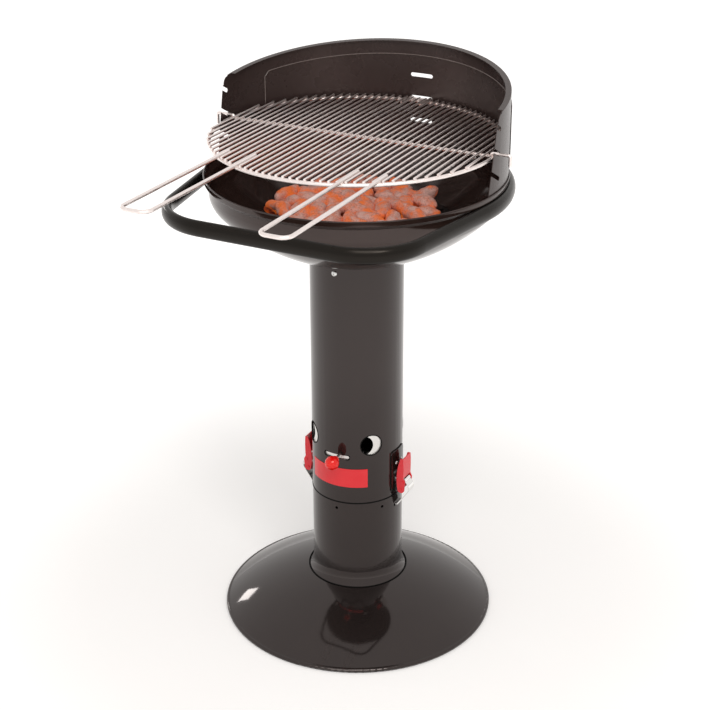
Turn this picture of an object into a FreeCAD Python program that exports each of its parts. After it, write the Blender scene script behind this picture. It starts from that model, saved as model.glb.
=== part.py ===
import FreeCAD, Part
import math
import os
from FreeCAD import Vector

# A charcoal barbecue on a round pedestal. The origin is on the floor under the centre of the
# column, +Z is up and -Y is the front, where the air knob and the two wire handles are.
# All sizes are in millimetres. Angles round the column are measured from the front towards +X.

# Clearances that every fit is taken from
fit = 0.3              # between pieces that lie on or in each other
pin_play = 0.15        # round a pin or a screw shank
sheet = 1.2            # enamelled steel of pot, column and bowl

# Base dish
base_radius = 227.0
base_top = 70.0        # height of the flat centre that carries the pot
base_flat_radius = 84.0
base_sheet = 1.5
base_bead = 4.0        # radius of the rolled edge
base_crown = 7.0       # how far the dish bulges over a straight cone

# Ash pot, the lower part of the column
tube_radius = 75.0
pot_height = 156.5
foot_flare = 7.5       # how far the foot spreads past the tube
foot_rise = 24.0
pot_bolt_circle = 45.0
pot_bolt_size = 6.0
drain_hole = 5.0
drain_drop = 12.0      # below the rim of the pot
catch_drop = 20.2      # middle of the latch slot below the rim of the pot
catch_height = 5.2
catch_angle = 19.0     # width of the slot round the pot, in degrees
rim_bevel = 1.0

# Column tube and the collar inside its lower end
column_length = 413.0
collar_above = 23.0
collar_below = 9.0
collar_sheet = 1.0

# Air vents, inner damper ring and its knob
vent_size = 34.4
vent_rise = 105.8      # middle of the vents above the foot of the column
slot_rise = 84.2       # middle of the knob slot above the foot of the column
slot_height = 6.6
damper_swing = 14.0    # degrees each way from the middle of the slot
damper_rest = 3.0      # where the knob stands, to the right of the middle
damper_sheet = 1.0
damper_band = 54.0
knob_radius = 11.5
knob_reach = 24.0      # middle of the knob out from the column
stem_screw = 2.5       # radius of the screw through the damper band
stem_head = 5.0

# Toggle latches at the two sides
latch_plate = 1.7
latch_plate_width = 42.0
latch_plate_height = 72.0
latch_plate_rise = 10.0    # above the foot of the column
latch_plate_corner = 6.0   # radius of its upper corners
lever_pivot_out = 12.0     # from the column surface
lever_pivot_rise = 13.0    # above the foot of the column
hook_pivot_out = 3.0       # from the lever pivot
hook_pivot_rise = 14.0
lever_length = 57.0        # above the lever pivot
lever_sheet = 1.8
lever_half_width = 14.1
lever_gap = 16.2           # from the column to the lever's lip
lever_lip_depth = 5.0      # of the side flanges at the lip
lever_bow = 1.3            # how far the flanges bow towards the column
lever_crown = 0.6          # how far the face bows outwards
lever_eye = 6.2            # radius of the flanges round the lever pivot
lever_nose = 4.3           # of the flanges past the hook pivot
lever_face_rise = 7.0      # foot of the face above the hook pivot
ear_radius = 5.0           # of the bracket's ears round the lever pivot
hook_half_width = 9.6
hook_sheet = 2.0
hook_bulge = 12.0          # radius of the bow round the lever pivot
pin_size = 4.0
pin_head = 0.7             # how far a pin's head spreads past its shank
rivet_size = 3.8
rivet_rises = (21.0, 48.0)  # above the foot of the plate
rivet_spread = 6.2         # degrees from the middle of the plate

# Bowl
bowl_wall_radius = 228.0   # outside, where the handle tube lies against it
bowl_wall_foot = 108.0     # height above the column where the curve of the dish starts
bowl_knuckle = 36.0        # radius of the curve between wall and dish
bowl_knuckle_angle = 45.0
bowl_floor_margin = 4.0    # the flat floor reaches this far past the column
neck_flange = 13.5         # width of the flange under the floor
shoulder_out = 6.4
shoulder_rise = 6.5
wall_height = 11.4
rim_band = 8.0
rim_bead = 1.1
neck_drop = 28.0           # how far the neck reaches into the column
neck_screw_drop = 11.0
neck_screw_size = 5.0
floor_bolt_inset = 7.0     # from the outside of the neck

# Ring handle
handle_half_width = 8.0    # the tube is an upright oval
handle_half_height = 12.4
handle_wall = 1.2
handle_rise = 112.7        # above the column
handle_front = 282.3       # middle of the front bar from the axis
handle_corner = 96.9       # bend radius at the front corners
handle_corner_side = 109.5
rim_screw_size = 6.0
rim_screw_angles = (100.0, 150.0, -150.0, -100.0)

# Windscreen
screen_sheet = 1.0
screen_side_top = 250.9    # height of its rim over the column, at the sides
screen_lean = 0.14         # the rim climbs towards the back by this ratio
screen_edge_mid = -15.2    # where the front edge stands at the middle notch
screen_edge_slope = 0.213
screen_lip = 9.0
screen_corner = 12.0
screen_tab_width = 26.0
screen_tab_drop = 28.0
panel_angle = 113.3        # the pressed panel ends here, each side of the front
panel_margin = 24.5
panel_press = 1.5
panel_step = 1.0           # width of the step round the panel

# Cooking grid and its three levels
grid_level = 190.0         # cross wire in the middle notch, above the column
level_pitch = 37.7
notch_back = 5.5           # where the cross wire rests, behind the axis
notch_slope = 29.0
notch_half = 3.25          # half the width of a notch
slot_width = 39.2
rear_slot_height = 6.4
ring_wire = 3.0            # wire radii
bar_wire = 2.0
cross_wire = 2.5
loop_wire = 3.0
bar_count = 39
bar_pitch = 11.28
grid_clearance = 4.6
loop_gap_bars = 4          # bars between the legs of a wire handle
loop_inner_gap = 7.5       # pitches from the middle to the inner leg
loop_reach = 440.5         # middle of the grip bar from the axis
loop_bend = 14.0
loop_inside = 159.0        # where the legs end over the grid
cross_overhang = 17.3
cross_drop = 17.0
cross_bend = 3.0
tongue_reach = 10.0

# Fire grate and charcoal
grate_radius = 165.0
grate_sheet = 2.0
coal_radius = 130.0
coal_count = 84
coal_size = 13.5
coal_core = 30.0           # depth of the bed under the upper lumps

# Heights and radii that follow from the sizes above
inner_radius = tube_radius - sheet
nested_radius = inner_radius - fit
cut_from = tube_radius - 15    # cutters through the wall of pot and column
cut_to = tube_radius + 15
bowl_floor_radius = tube_radius + bowl_floor_margin
bowl_hole_radius = nested_radius - neck_flange
floor_bolt_circle = nested_radius - floor_bolt_inset
pot_floor = base_top + fit
pot_top = pot_floor + pot_height
column_foot = pot_top + fit
column_top = column_foot + column_length
catch_level = pot_top - catch_drop
slot_level = column_foot + slot_rise
vent_level = column_foot + vent_rise
handle_level = column_top + handle_rise
handle_radius = bowl_wall_radius + fit + handle_half_width
wall_foot_level = column_top + bowl_wall_foot
shoulder_level = wall_foot_level + wall_height
band_level = shoulder_level + shoulder_rise
band_radius = bowl_wall_radius + shoulder_out
rim_level = band_level + rim_band
screen_radius = band_radius - sheet - fit
screen_inner = screen_radius - screen_sheet
screen_foot = band_level
cross_level = column_top + grid_level
ring_outer = screen_inner - grid_clearance
ring_middle = ring_outer - ring_wire
ring_level = cross_level - cross_wire - ring_wire
ring_top = ring_level + ring_wire
bar_level = ring_top + bar_wire
tongue_turn = math.radians(notch_slope)
tongue_bend = screen_inner - 1.0
tongue_level = ring_top + bar_wire
tongue_fall = (screen_radius + panel_press - tongue_bend) * math.tan(tongue_turn)
tongue_under = tongue_level - tongue_fall - bar_wire / math.cos(tongue_turn)
rear_slot_drop = cross_level - (tongue_under - fit) - rear_slot_height / 2
floor_level = column_top + fit
stem_radius = slot_height / 2 - fit
latch_surface = tube_radius + fit
lever_pivot = (tube_radius + lever_pivot_out, column_foot + lever_pivot_rise)
hook_pivot = (lever_pivot[0] + hook_pivot_out, lever_pivot[1] + hook_pivot_rise)
ear_outer = lever_half_width - lever_sheet - fit
ear_inner = ear_outer - latch_plate
lever_top = lever_pivot[1] + lever_length
plate_foot = column_foot + latch_plate_rise


def turned(shape, angle):
    """The shape, turned round the column's axis by an angle from the front towards +X."""
    copy = shape.copy()
    copy.rotate(Vector(0, 0, 0), Vector(0, 0, 1), angle)
    return copy


def ring(outer, inner, low, high):
    """A plain ring round the column's axis."""
    body = Part.makeCylinder(outer, high - low, Vector(0, 0, low))
    return body.cut(Part.makeCylinder(inner, high - low + 2, Vector(0, 0, low - 1)))


def rod(radius, start, end):
    """A round rod between two points."""
    start = Vector(*start)
    end = Vector(*end)
    return Part.makeCylinder(radius, (end - start).Length, start, end - start)


def box(low, high):
    """A box from its lowest corner to its highest."""
    return Part.makeBox(high[0] - low[0], high[1] - low[1], high[2] - low[2], Vector(*low))


def outline(start, *steps):
    """A flat face in the XZ plane. A step is a point, or a middle point and an end for an arc."""
    edges = []
    here = Vector(start[0], 0, start[1])
    first = here
    for step in steps:
        if isinstance(step[0], tuple):
            middle = Vector(step[0][0], 0, step[0][1])
            end = Vector(step[1][0], 0, step[1][1])
            edges.append(Part.Arc(here, middle, end).toShape())
        else:
            end = Vector(step[0], 0, step[1])
            edges.append(Part.LineSegment(here, end).toShape())
        here = end
    if (here - first).Length > 1e-6:
        edges.append(Part.LineSegment(here, first).toShape())
    return Part.Face(Part.Wire(edges))


def spun(face):
    """A profile turned all the way round the column's axis."""
    return face.revolve(Vector(0, 0, 0), Vector(0, 0, 1), 360)


def slab(face, low, high):
    """A profile in the XZ plane given a thickness along Y."""
    solid = face.extrude(Vector(0, high - low, 0))
    solid.translate(Vector(0, low, 0))
    return solid


def joined(shapes):
    """All shapes as one solid."""
    whole = shapes[0]
    if len(shapes) > 1:
        whole = shapes[0].multiFuse(shapes[1:])
    return whole.removeSplitter()


def without(shape, cutters):
    """The shape less all the cutters."""
    for cutter in cutters:
        shape = shape.cut(cutter)
    return shape


def radial_rod(radius, inner, outer, level, angle):
    """A round rod that points out from the column's axis."""
    return turned(rod(radius, (0, -inner, level), (0, -outer, level)), angle)


def hexagon(across, height, base, direction):
    """A six-sided nut blank that stands on its base point."""
    corner = across / math.sqrt(3)
    points = []
    for step in range(7):
        angle = math.radians(60 * step)
        points.append(Vector(corner * math.cos(angle), corner * math.sin(angle), 0))
    blank = Part.Face(Part.makePolygon(points)).extrude(Vector(0, 0, height))
    blank.Placement = FreeCAD.Placement(base, FreeCAD.Rotation(Vector(0, 0, 1), direction))
    return blank


def nut(size, height, base, direction):
    """A plain nut with a clear bore, its seat on the base point."""
    blank = hexagon(1.6 * size, height, base, direction)
    bore = Part.makeCylinder(size / 2 + pin_play, height + 2, base - direction, direction)
    return blank.cut(bore)


def round_head(radius, height, base, direction):
    """A low domed screw head on its base point."""
    ball = (radius * radius + height * height) / (2 * height)
    centre = base - direction * (ball - height)
    dome = Part.makeSphere(ball, centre)
    return dome.common(Part.makeCylinder(radius + 1, height + 1, base, direction))


def on_wall(radius, angle, level):
    """A point at a radius, an angle from the front and a height."""
    turn = math.radians(angle)
    return Vector(radius * math.sin(turn), -radius * math.cos(turn), level)


def outward(angle):
    """The direction out from the axis at an angle from the front."""
    return on_wall(1, angle, 0)


def bent_wire(radius, points, bend):
    """A wire through points in one plane, with a rounded bend at each inner point."""
    pieces = []
    here = points[0]
    for before, corner, after in zip(points[:-2], points[1:-1], points[2:]):
        arrive = (corner - before).normalize()
        leave = (after - corner).normalize()
        turn = arrive.getAngle(leave)
        setback = bend * math.tan(turn / 2)
        start = corner - arrive * setback
        end = corner + leave * setback
        inward = (leave - arrive).normalize()
        centre = corner + inward * (bend / math.cos(turn / 2))
        middle = centre - inward * bend
        pieces.append(Part.LineSegment(here, start).toShape())
        pieces.append(Part.Arc(start, middle, end).toShape())
        here = end
    pieces.append(Part.LineSegment(here, points[-1]).toShape())
    path = Part.Wire(pieces)
    section = Part.Wire(Part.Circle(points[0], points[1] - points[0], radius).toShape())
    return path.makePipeShell([section], True, False)


def base_plate():
    """The spun dish that the barbecue stands on, with its rolled edge cut flat on the floor."""
    bead_middle = base_radius - base_bead
    edge = (bead_middle - 1.0, 2 * base_bead - 0.3)
    flat = (base_flat_radius, base_top)
    slope = math.atan2(flat[1] - edge[1], edge[0] - flat[0])
    bulge = ((edge[0] + flat[0]) / 2 + base_crown * math.sin(slope),
             (edge[1] + flat[1]) / 2 + base_crown * math.cos(slope))
    below = base_sheet / math.cos(slope)
    face = outline((0, base_top), flat, (bulge, edge), (edge[0], edge[1] - base_bead),
                   (edge[0] - base_sheet, edge[1] - base_bead),
                   ((bulge[0], bulge[1] - below), (base_flat_radius, base_top - base_sheet)),
                   (0, base_top - base_sheet))
    bead = Part.makeTorus(bead_middle, base_bead, Vector(0, 0, base_bead - 0.3))
    dish = joined([spun(face), bead])
    floor = box((-300, -300, -10), (300, 300, 0))
    return without(dish, [floor] + pot_bolt_holes())


def pot_bolt_places():
    places = []
    for step in range(3):
        places.append(on_wall(pot_bolt_circle, 60 + 120 * step, 0))
    return places


def pot_bolt_holes():
    holes = []
    for place in pot_bolt_places():
        start = (place.x, place.y, base_top - 10)
        end = (place.x, place.y, pot_floor + 10)
        holes.append(rod(pot_bolt_size / 2 + pin_play, start, end))
    return holes


def pot_bolts():
    """Three round-head bolts through the floor of the pot."""
    bolts = []
    up = Vector(0, 0, 1)
    seat = pot_floor + sheet + fit / 2
    for place in pot_bolt_places():
        base = Vector(place.x, place.y, seat)
        head = round_head(pot_bolt_size, 0.6 * pot_bolt_size, base, up)
        tip = (place.x, place.y, base_top - base_sheet - pot_bolt_size - 1)
        bolts.append(joined([head, rod(pot_bolt_size / 2, tip, (base.x, base.y, seat + 0.5))]))
    return Part.makeCompound(bolts)


def pot_nuts():
    """The nuts of the pot bolts, under the base dish."""
    nuts = []
    down = Vector(0, 0, -1)
    for place in pot_bolt_places():
        base = Vector(place.x, place.y, base_top - base_sheet - fit / 2)
        nuts.append(nut(pot_bolt_size, 0.8 * pot_bolt_size, base, down))
    return Part.makeCompound(nuts)


def ash_pot():
    """The removable pot: a tube with a flared foot, a floor, drain holes and two latch slots."""
    bend = (foot_rise ** 2 + foot_flare ** 2) / (2 * foot_flare)
    half = math.asin(foot_rise / bend) / 2
    rise = pot_floor + foot_rise
    middle = (tube_radius + bend * (1 - math.cos(half)), rise - bend * math.sin(half))
    foot = tube_radius + foot_flare
    inner_middle = (middle[0] - sheet, middle[1])
    face = outline((0, pot_floor), (foot, pot_floor), (middle, (tube_radius, rise)),
                   (tube_radius, pot_top - rim_bevel), (tube_radius - rim_bevel, pot_top),
                   (inner_radius, pot_top), (inner_radius, rise),
                   (inner_middle, (foot - sheet, pot_floor + sheet)), (0, pot_floor + sheet))
    cutters = pot_bolt_holes()
    for step in range(6):
        cutters.append(radial_rod(drain_hole / 2, cut_from, cut_to, pot_top - drain_drop, 60 * step))
    for side in (90, -90):
        cutters.append(catch_slot(side))
    return without(spun(face), cutters)


def catch_slot(angle):
    """The slot in the pot that a latch hook reaches into, rounded at both ends."""
    half = catch_angle / 2
    turn = math.degrees(catch_height / 2 / tube_radius)
    start = half - turn
    low = catch_level - catch_height / 2
    high = low + catch_height
    wedge = outline((cut_from, low), (cut_to, low), (cut_to, high), (cut_from, high))
    cutter = wedge.revolve(Vector(0, 0, 0), Vector(0, 0, 1), 2 * start)
    cutter.rotate(Vector(0, 0, 0), Vector(0, 0, 1), -90 - start)
    ends = [cutter]
    for end in (start, -start):
        ends.append(radial_rod(catch_height / 2, cut_from, cut_to, catch_level, end))
    return turned(joined(ends), angle)


def column_tube():
    """The enamelled tube between pot and bowl, with its vents, knob slot and screw holes."""
    face = outline((inner_radius, column_foot), (tube_radius - rim_bevel, column_foot),
                   (tube_radius, column_foot + rim_bevel), (tube_radius, column_top),
                   (inner_radius, column_top))
    cutters = []
    for angle in (45, 135, -135, -45):
        cutters.append(radial_rod(vent_size / 2, cut_from, cut_to, vent_level, angle))
    cutters.append(knob_slot())
    cutters += neck_screw_holes()
    cutters += rivet_holes()
    return without(spun(face), cutters)


def knob_slot():
    """The level slot that the damper stem travels in."""
    stop = damper_swing + 0.5
    low = slot_level - slot_height / 2
    high = low + slot_height
    wedge = outline((cut_from, low), (cut_to, low), (cut_to, high), (cut_from, high))
    middle = wedge.revolve(Vector(0, 0, 0), Vector(0, 0, 1), 2 * stop)
    middle.rotate(Vector(0, 0, 0), Vector(0, 0, 1), -90 - stop)
    parts = [middle]
    for end in (stop, -stop):
        parts.append(radial_rod(slot_height / 2, cut_from, cut_to, slot_level, end))
    return joined(parts)


def joint_collar():
    """The ring inside the foot of the column that centres it on the pot."""
    return ring(nested_radius, nested_radius - collar_sheet,
                column_foot - collar_below, column_foot + collar_above)


def damper_ring():
    """The inner band whose four holes slide past the vents. It is half open at rest."""
    middle = (slot_level + vent_level) / 2 + 6
    band = ring(nested_radius, nested_radius - damper_sheet,
                middle - damper_band / 2, middle + damper_band / 2)
    cutters = [radial_rod(stem_screw + pin_play, cut_from, cut_to, slot_level, 0)]
    for angle in (45, 135, -135, -45):
        cutters.append(radial_rod(vent_size / 2, cut_from, cut_to, vent_level, angle - damper_swing))
    return turned(without(band, cutters), damper_rest)


def damper_stem():
    """The stem that carries the knob: a collar in the slot and a screw through the band."""
    inside = math.sqrt((nested_radius - damper_sheet) ** 2 - stem_head ** 2) - 0.1
    parts = [round_head(stem_head, 2.6, Vector(0, -inside, slot_level), Vector(0, 1, 0)),
             rod(stem_screw, (0, -inside + 0.5, slot_level), (0, -nested_radius - 1, slot_level)),
             rod(stem_radius, (0, -nested_radius - fit / 2, slot_level),
                 (0, -tube_radius - knob_reach + 6, slot_level))]
    return turned(joined(parts), damper_rest)


def damper_knob():
    """The ball knob with a short neck and a blind hole for the stem."""
    centre = -tube_radius - knob_reach
    ball = Part.makeSphere(knob_radius, Vector(0, centre, slot_level))
    neck = Part.makeCone(6.5, 5.5, 6.0, Vector(0, centre + knob_radius + 1.5, slot_level),
                         Vector(0, -1, 0))
    hole = rod(stem_radius + pin_play, (0, centre + 5.5, slot_level), (0, 0, slot_level))
    return turned(joined([ball, neck]).cut(hole), damper_rest)


# The latch is drawn for the right side, in the XZ plane, and turned over for the left side.
def rivet_places():
    """Height and angle of the four rivets of one latch plate, from the middle of the plate."""
    places = []
    for rise in rivet_rises:
        for angle in (-rivet_spread, rivet_spread):
            places.append((plate_foot + rise, angle))
    return places


def rivet_holes():
    holes = []
    for side in (90, -90):
        for level, angle in rivet_places():
            holes.append(radial_rod(rivet_size / 2 + pin_play, cut_from, cut_to, level, side + angle))
    return holes


def bracket_rivets():
    """Eight domed rivets that hold the two latch plates on the column."""
    rivets = []
    outside = latch_surface + latch_plate + 0.1
    inside = inner_radius - 0.1
    for side in (90, -90):
        for level, offset in rivet_places():
            angle = side + offset
            shank = radial_rod(rivet_size / 2, inside - 0.3, outside + 0.3, level, angle)
            head = round_head(3.2, 1.8, on_wall(outside, angle, level), outward(angle))
            back = round_head(3.0, 1.4, on_wall(inside, angle, level), outward(angle) * -1)
            rivets.append(joined([shank, head, back]))
    return Part.makeCompound(rivets)


def latch_bracket(side):
    """The curved plate of a latch with the two ears that carry its lever."""
    half = math.degrees(math.asin(latch_plate_width / 2 / latch_surface))
    low = plate_foot
    high = low + latch_plate_height
    outer = latch_surface + latch_plate
    face = outline((latch_surface, low), (outer, low), (outer, high), (latch_surface, high))
    plate = face.revolve(Vector(0, 0, 0), Vector(0, 0, 1), 2 * half)
    plate.rotate(Vector(0, 0, 0), Vector(0, 0, 1), -half)
    side_edge = latch_plate_width / 2
    round_y = side_edge - latch_plate_corner
    round_z = high - latch_plate_corner
    for way in (1, -1):
        bevel = outline((0, round_z), (cut_to, round_z), (cut_to, high + 1), (0, high + 1))
        block = slab(bevel, round_y, side_edge + latch_plate_corner)
        rounding = rod(latch_plate_corner, (0, round_y, round_z), (cut_to, round_y, round_z))
        block = block.cut(rounding)
        if way < 0:
            block = block.mirror(Vector(0, 0, 0), Vector(0, 1, 0))
        plate = plate.cut(block)
    root = latch_surface + latch_plate / 2
    reach = ear_radius
    ear = outline((root, lever_pivot[1] + 9), (root, lever_pivot[1] - 3.5),
                  (lever_pivot[0] - 2, lever_pivot[1] - reach + 0.1),
                  (lever_pivot[0], lever_pivot[1] - reach),
                  ((lever_pivot[0] + reach, lever_pivot[1]),
                   (lever_pivot[0], lever_pivot[1] + reach)))
    ears = [slab(ear, ear_inner, ear_outer), slab(ear, -ear_outer, -ear_inner)]
    bore = rod(pin_size / 2 + pin_play, (lever_pivot[0], -30, lever_pivot[1]),
               (lever_pivot[0], 30, lever_pivot[1]))
    holes = [bore]
    for level, offset in rivet_places():
        holes.append(radial_rod(rivet_size / 2 + pin_play, cut_from, cut_to, level, 90 + offset))
    bracket = without(joined([plate] + ears), holes)
    return turned(bracket, side - 90)


def latch_lever(side):
    """The pressed lever: an upright face and, at each side, a flange that bows to the column."""
    px, pz = lever_pivot
    hx, hz = hook_pivot
    lip = tube_radius + lever_gap
    eye = lever_eye
    face_foot = hz + lever_face_rise
    middle = (face_foot + lever_top) / 2
    front = (lip + lever_crown, middle)
    flange = outline((px - eye, pz), ((px, pz - eye), (px + eye, pz)),
                     (hx + lever_nose, hz), (lip, face_foot), (front, (lip, lever_top)),
                     (lip - lever_lip_depth, lever_top),
                     ((px - eye - lever_bow, (pz + middle) / 2), (px - eye, pz)))
    shell = outline((lip, face_foot), (front, (lip, lever_top)), (lip - lever_sheet, lever_top),
                    ((front[0] - lever_sheet, middle), (lip - lever_sheet, face_foot)))
    inner = lever_half_width - lever_sheet
    body = joined([slab(flange, inner, lever_half_width),
                   slab(flange, -lever_half_width, -inner),
                   slab(shell, -lever_half_width, lever_half_width)])
    bores = []
    for x, z in (lever_pivot, hook_pivot):
        bores.append(rod(pin_size / 2 + pin_play, (x, -30, z), (x, 30, z)))
    return turned(without(body, bores), side - 90)


def latch_hook(side):
    """The draw hook: a knuckle, a bow round the lever pivot and a tip bent into the pot."""
    hx, hz = hook_pivot
    centre = (hx - 3.0, hz - 13.0)
    swing = math.radians(35)
    half = hook_sheet / 2
    tip_level = catch_level + catch_height / 2 - fit - half
    down = (-math.sin(swing), -math.cos(swing))
    bow_end = (centre[0] + hook_bulge * math.cos(swing), centre[1] - hook_bulge * math.sin(swing))
    bend = 5.0
    drop = bow_end[1] - tip_level - bend * (1 - math.sin(swing))
    run = drop / math.cos(swing)
    knee = (bow_end[0] + down[0] * run, bow_end[1] + down[1] * run)
    bend_centre = (knee[0] - bend * math.cos(swing), knee[1] + bend * math.sin(swing))
    tip = tube_radius - sheet - 1.5

    def bow(radius, angle):
        turn = math.radians(angle)
        return (centre[0] + radius * math.cos(turn), centre[1] + radius * math.sin(turn))

    def knee_arc(radius, angle):
        turn = math.radians(angle)
        return (bend_centre[0] + radius * math.cos(turn), bend_centre[1] + radius * math.sin(turn))

    strip = outline(bow(hook_bulge + half, 72),
                    (bow(hook_bulge + half, 18), bow(hook_bulge + half, -35)),
                    knee_arc(bend + half, -35), (knee_arc(bend + half, -62), knee_arc(bend + half, -90)),
                    (tip, bend_centre[1] - bend - half), (tip, bend_centre[1] - bend + half),
                    knee_arc(bend - half, -90), (knee_arc(bend - half, -62), knee_arc(bend - half, -35)),
                    bow(hook_bulge - half, -35),
                    (bow(hook_bulge - half, 18), bow(hook_bulge - half, 72)))
    knuckle = rod(pin_size / 2 + 1.6, (hx, -hook_half_width, hz), (hx, hook_half_width, hz))
    body = joined([slab(strip, -hook_half_width, hook_half_width), knuckle])
    bore = rod(pin_size / 2 + pin_play, (hx, -30, hz), (hx, 30, hz))
    return turned(body.cut(bore), side - 90)


def latch_pin(place, side):
    """A plain pin with a flat head at each end."""
    x, z = place
    end = lever_half_width + fit / 2
    parts = [rod(pin_size / 2, (x, -end - 0.5, z), (x, end + 0.5, z))]
    for way in (1, -1):
        parts.append(rod(pin_size / 2 + pin_head, (x, way * end, z), (x, way * (end + 0.8), z)))
    return turned(joined(parts), side - 90)


def bowl_line():
    """The centre of the bowl's knuckle and the point where it meets the flatter dish."""
    turn = math.radians(bowl_knuckle_angle)
    middle = (bowl_wall_radius - bowl_knuckle, wall_foot_level)
    join = (middle[0] + bowl_knuckle * math.cos(turn), middle[1] - bowl_knuckle * math.sin(turn))
    return middle, join


def dish_circle():
    """Centre, radius and the two end slopes of the flatter arc, on the outside of the bowl."""
    join = bowl_line()[1]
    foot = (bowl_floor_radius, floor_level + 1.6)
    steep = math.pi / 2 - math.radians(bowl_knuckle_angle)
    chord = math.hypot(join[0] - foot[0], join[1] - foot[1])
    lean = math.atan2(join[1] - foot[1], join[0] - foot[0])
    radius = chord / (2 * math.sin(steep - lean))
    centre = (join[0] - radius * math.sin(steep), join[1] + radius * math.cos(steep))
    return centre, radius, steep, 2 * lean - steep


def dish_arc(offset):
    """The flatter arc moved inwards by an offset: upper end, middle and lower end."""
    centre, radius, steep, shallow = dish_circle()
    points = []
    for angle in (steep, (steep + shallow) / 2, shallow):
        points.append((centre[0] + (radius - offset) * math.sin(angle),
                       centre[1] - (radius - offset) * math.cos(angle)))
    return points


def inside_level(reach):
    """Height of the inner surface of the dish at a distance from the axis."""
    centre, radius, steep, shallow = dish_circle()
    return centre[1] - math.sqrt((radius - sheet) ** 2 - (reach - centre[0]) ** 2)


def bowl():
    """The deep enamelled dish with a shoulder for the windscreen and a rolled rim."""
    middle = bowl_line()[0]
    half = math.radians(bowl_knuckle_angle / 2)
    inside = bowl_knuckle - sheet
    outer_mid = (middle[0] + bowl_knuckle * math.cos(half), middle[1] - bowl_knuckle * math.sin(half))
    inner_mid = (middle[0] + inside * math.cos(half), middle[1] - inside * math.sin(half))
    inner_join = (middle[0] + inside * math.cos(2 * half), middle[1] - inside * math.sin(2 * half))
    outer = dish_arc(0)
    inner = dish_arc(sheet)
    wall_in = bowl_wall_radius - sheet
    face = outline((bowl_hole_radius, floor_level), (tube_radius, floor_level), outer[2],
                   (outer[1], outer[0]), (outer_mid, (bowl_wall_radius, wall_foot_level)),
                   (bowl_wall_radius, shoulder_level), (band_radius, band_level),
                   (band_radius, rim_level), (band_radius - sheet, rim_level),
                   (band_radius - sheet, band_level + 0.5), (wall_in, shoulder_level + 0.5),
                   (wall_in, wall_foot_level), (inner_mid, inner_join), (inner[1], inner[2]),
                   (tube_radius, floor_level + sheet), (bowl_hole_radius, floor_level + sheet))
    bead = Part.makeTorus(band_radius - sheet + rim_bead, rim_bead, Vector(0, 0, rim_level - 0.6))
    inside_cut = Part.makeCylinder(band_radius - sheet, 40, Vector(0, 0, rim_level - 20))
    body = joined([spun(face), bead.cut(inside_cut)])
    return without(body, rim_screw_holes() + floor_bolt_holes())


def bowl_neck():
    """The flanged ring under the bowl that stands in the top of the column."""
    high = column_top
    low = column_top - neck_drop
    face = outline((nested_radius, low), (nested_radius, high), (bowl_hole_radius, high),
                   (bowl_hole_radius, high - sheet), (nested_radius - sheet, high - sheet),
                   (nested_radius - sheet, low))
    return without(spun(face), neck_screw_holes() + floor_bolt_holes())


def neck_screw_places():
    places = []
    for angle in (0, 120, 240):
        places.append(angle)
    return places


def neck_screw_holes():
    holes = []
    level = column_top - neck_screw_drop
    for angle in neck_screw_places():
        holes.append(radial_rod(neck_screw_size / 2 + pin_play, cut_from, cut_to, level, angle))
    return holes


def neck_screws():
    """Three domed screws through the top of the column into the neck of the bowl."""
    screws = []
    level = column_top - neck_screw_drop
    seat = tube_radius + 0.1
    for angle in neck_screw_places():
        head = round_head(4.8, 2.8, on_wall(seat, angle, level), outward(angle))
        shank = radial_rod(neck_screw_size / 2, inner_radius - 9, seat + 0.5, level, angle)
        screws.append(joined([head, shank]))
    return Part.makeCompound(screws)


def neck_nuts():
    """The nuts of the neck screws, inside the neck."""
    nuts = []
    level = column_top - neck_screw_drop
    for angle in neck_screw_places():
        flat = math.sqrt((nested_radius - sheet) ** 2 - (0.8 * neck_screw_size) ** 2) - 0.1
        nuts.append(nut(neck_screw_size, 4.0, on_wall(flat, angle, level), outward(angle) * -1))
    return Part.makeCompound(nuts)


def floor_bolt_places():
    places = []
    for angle in (60, 180, 300):
        places.append(on_wall(floor_bolt_circle, angle, 0))
    return places


def floor_bolt_holes():
    holes = []
    for place in floor_bolt_places():
        holes.append(rod(neck_screw_size / 2 + pin_play, (place.x, place.y, column_top - 8),
                         (place.x, place.y, column_top + 8)))
    return holes


def floor_bolts():
    """Three bolts through the floor of the bowl into the flange of its neck."""
    bolts = []
    for place in floor_bolt_places():
        seat = floor_level + sheet + 0.1
        head = round_head(4.8, 2.8, Vector(place.x, place.y, seat), Vector(0, 0, 1))
        shank = rod(neck_screw_size / 2, (place.x, place.y, column_top - sheet - 6),
                    (place.x, place.y, seat + 0.5))
        bolts.append(joined([head, shank]))
    return Part.makeCompound(bolts)


def floor_nuts():
    """The nuts of the bowl's floor bolts."""
    nuts = []
    for place in floor_bolt_places():
        base = Vector(place.x, place.y, column_top - sheet - 0.1)
        nuts.append(nut(neck_screw_size, 4.0, base, Vector(0, 0, -1)))
    return Part.makeCompound(nuts)


def rim_screw_holes():
    holes = []
    for angle in rim_screw_angles:
        holes.append(radial_rod(rim_screw_size / 2 + pin_play, 200, handle_radius, handle_level, angle))
    return holes


def handle_section(inset, out, turn):
    """The oval section of the tube, out from the origin and turned about the upright axis."""
    tall = Vector(0, 0, handle_half_height - inset)
    wide = Vector(handle_half_width - inset, 0, 0)
    face = Part.Face(Part.Wire(Part.Ellipse(tall, wide, Vector(0, 0, 0)).toShape()))
    face.translate(Vector(out, 0, 0))
    face.rotate(Vector(0, 0, 0), Vector(0, 0, 1), turn)
    return face


def handle_touch():
    """Centre of the right front bend, and the angle from +X where the side leaves the bends."""
    centre = Vector(handle_corner_side, -(handle_front - handle_corner), 0)
    base = math.atan2(centre.y, centre.x)
    return centre, math.degrees(base + math.acos((handle_radius - handle_corner) / centre.Length))


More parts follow.
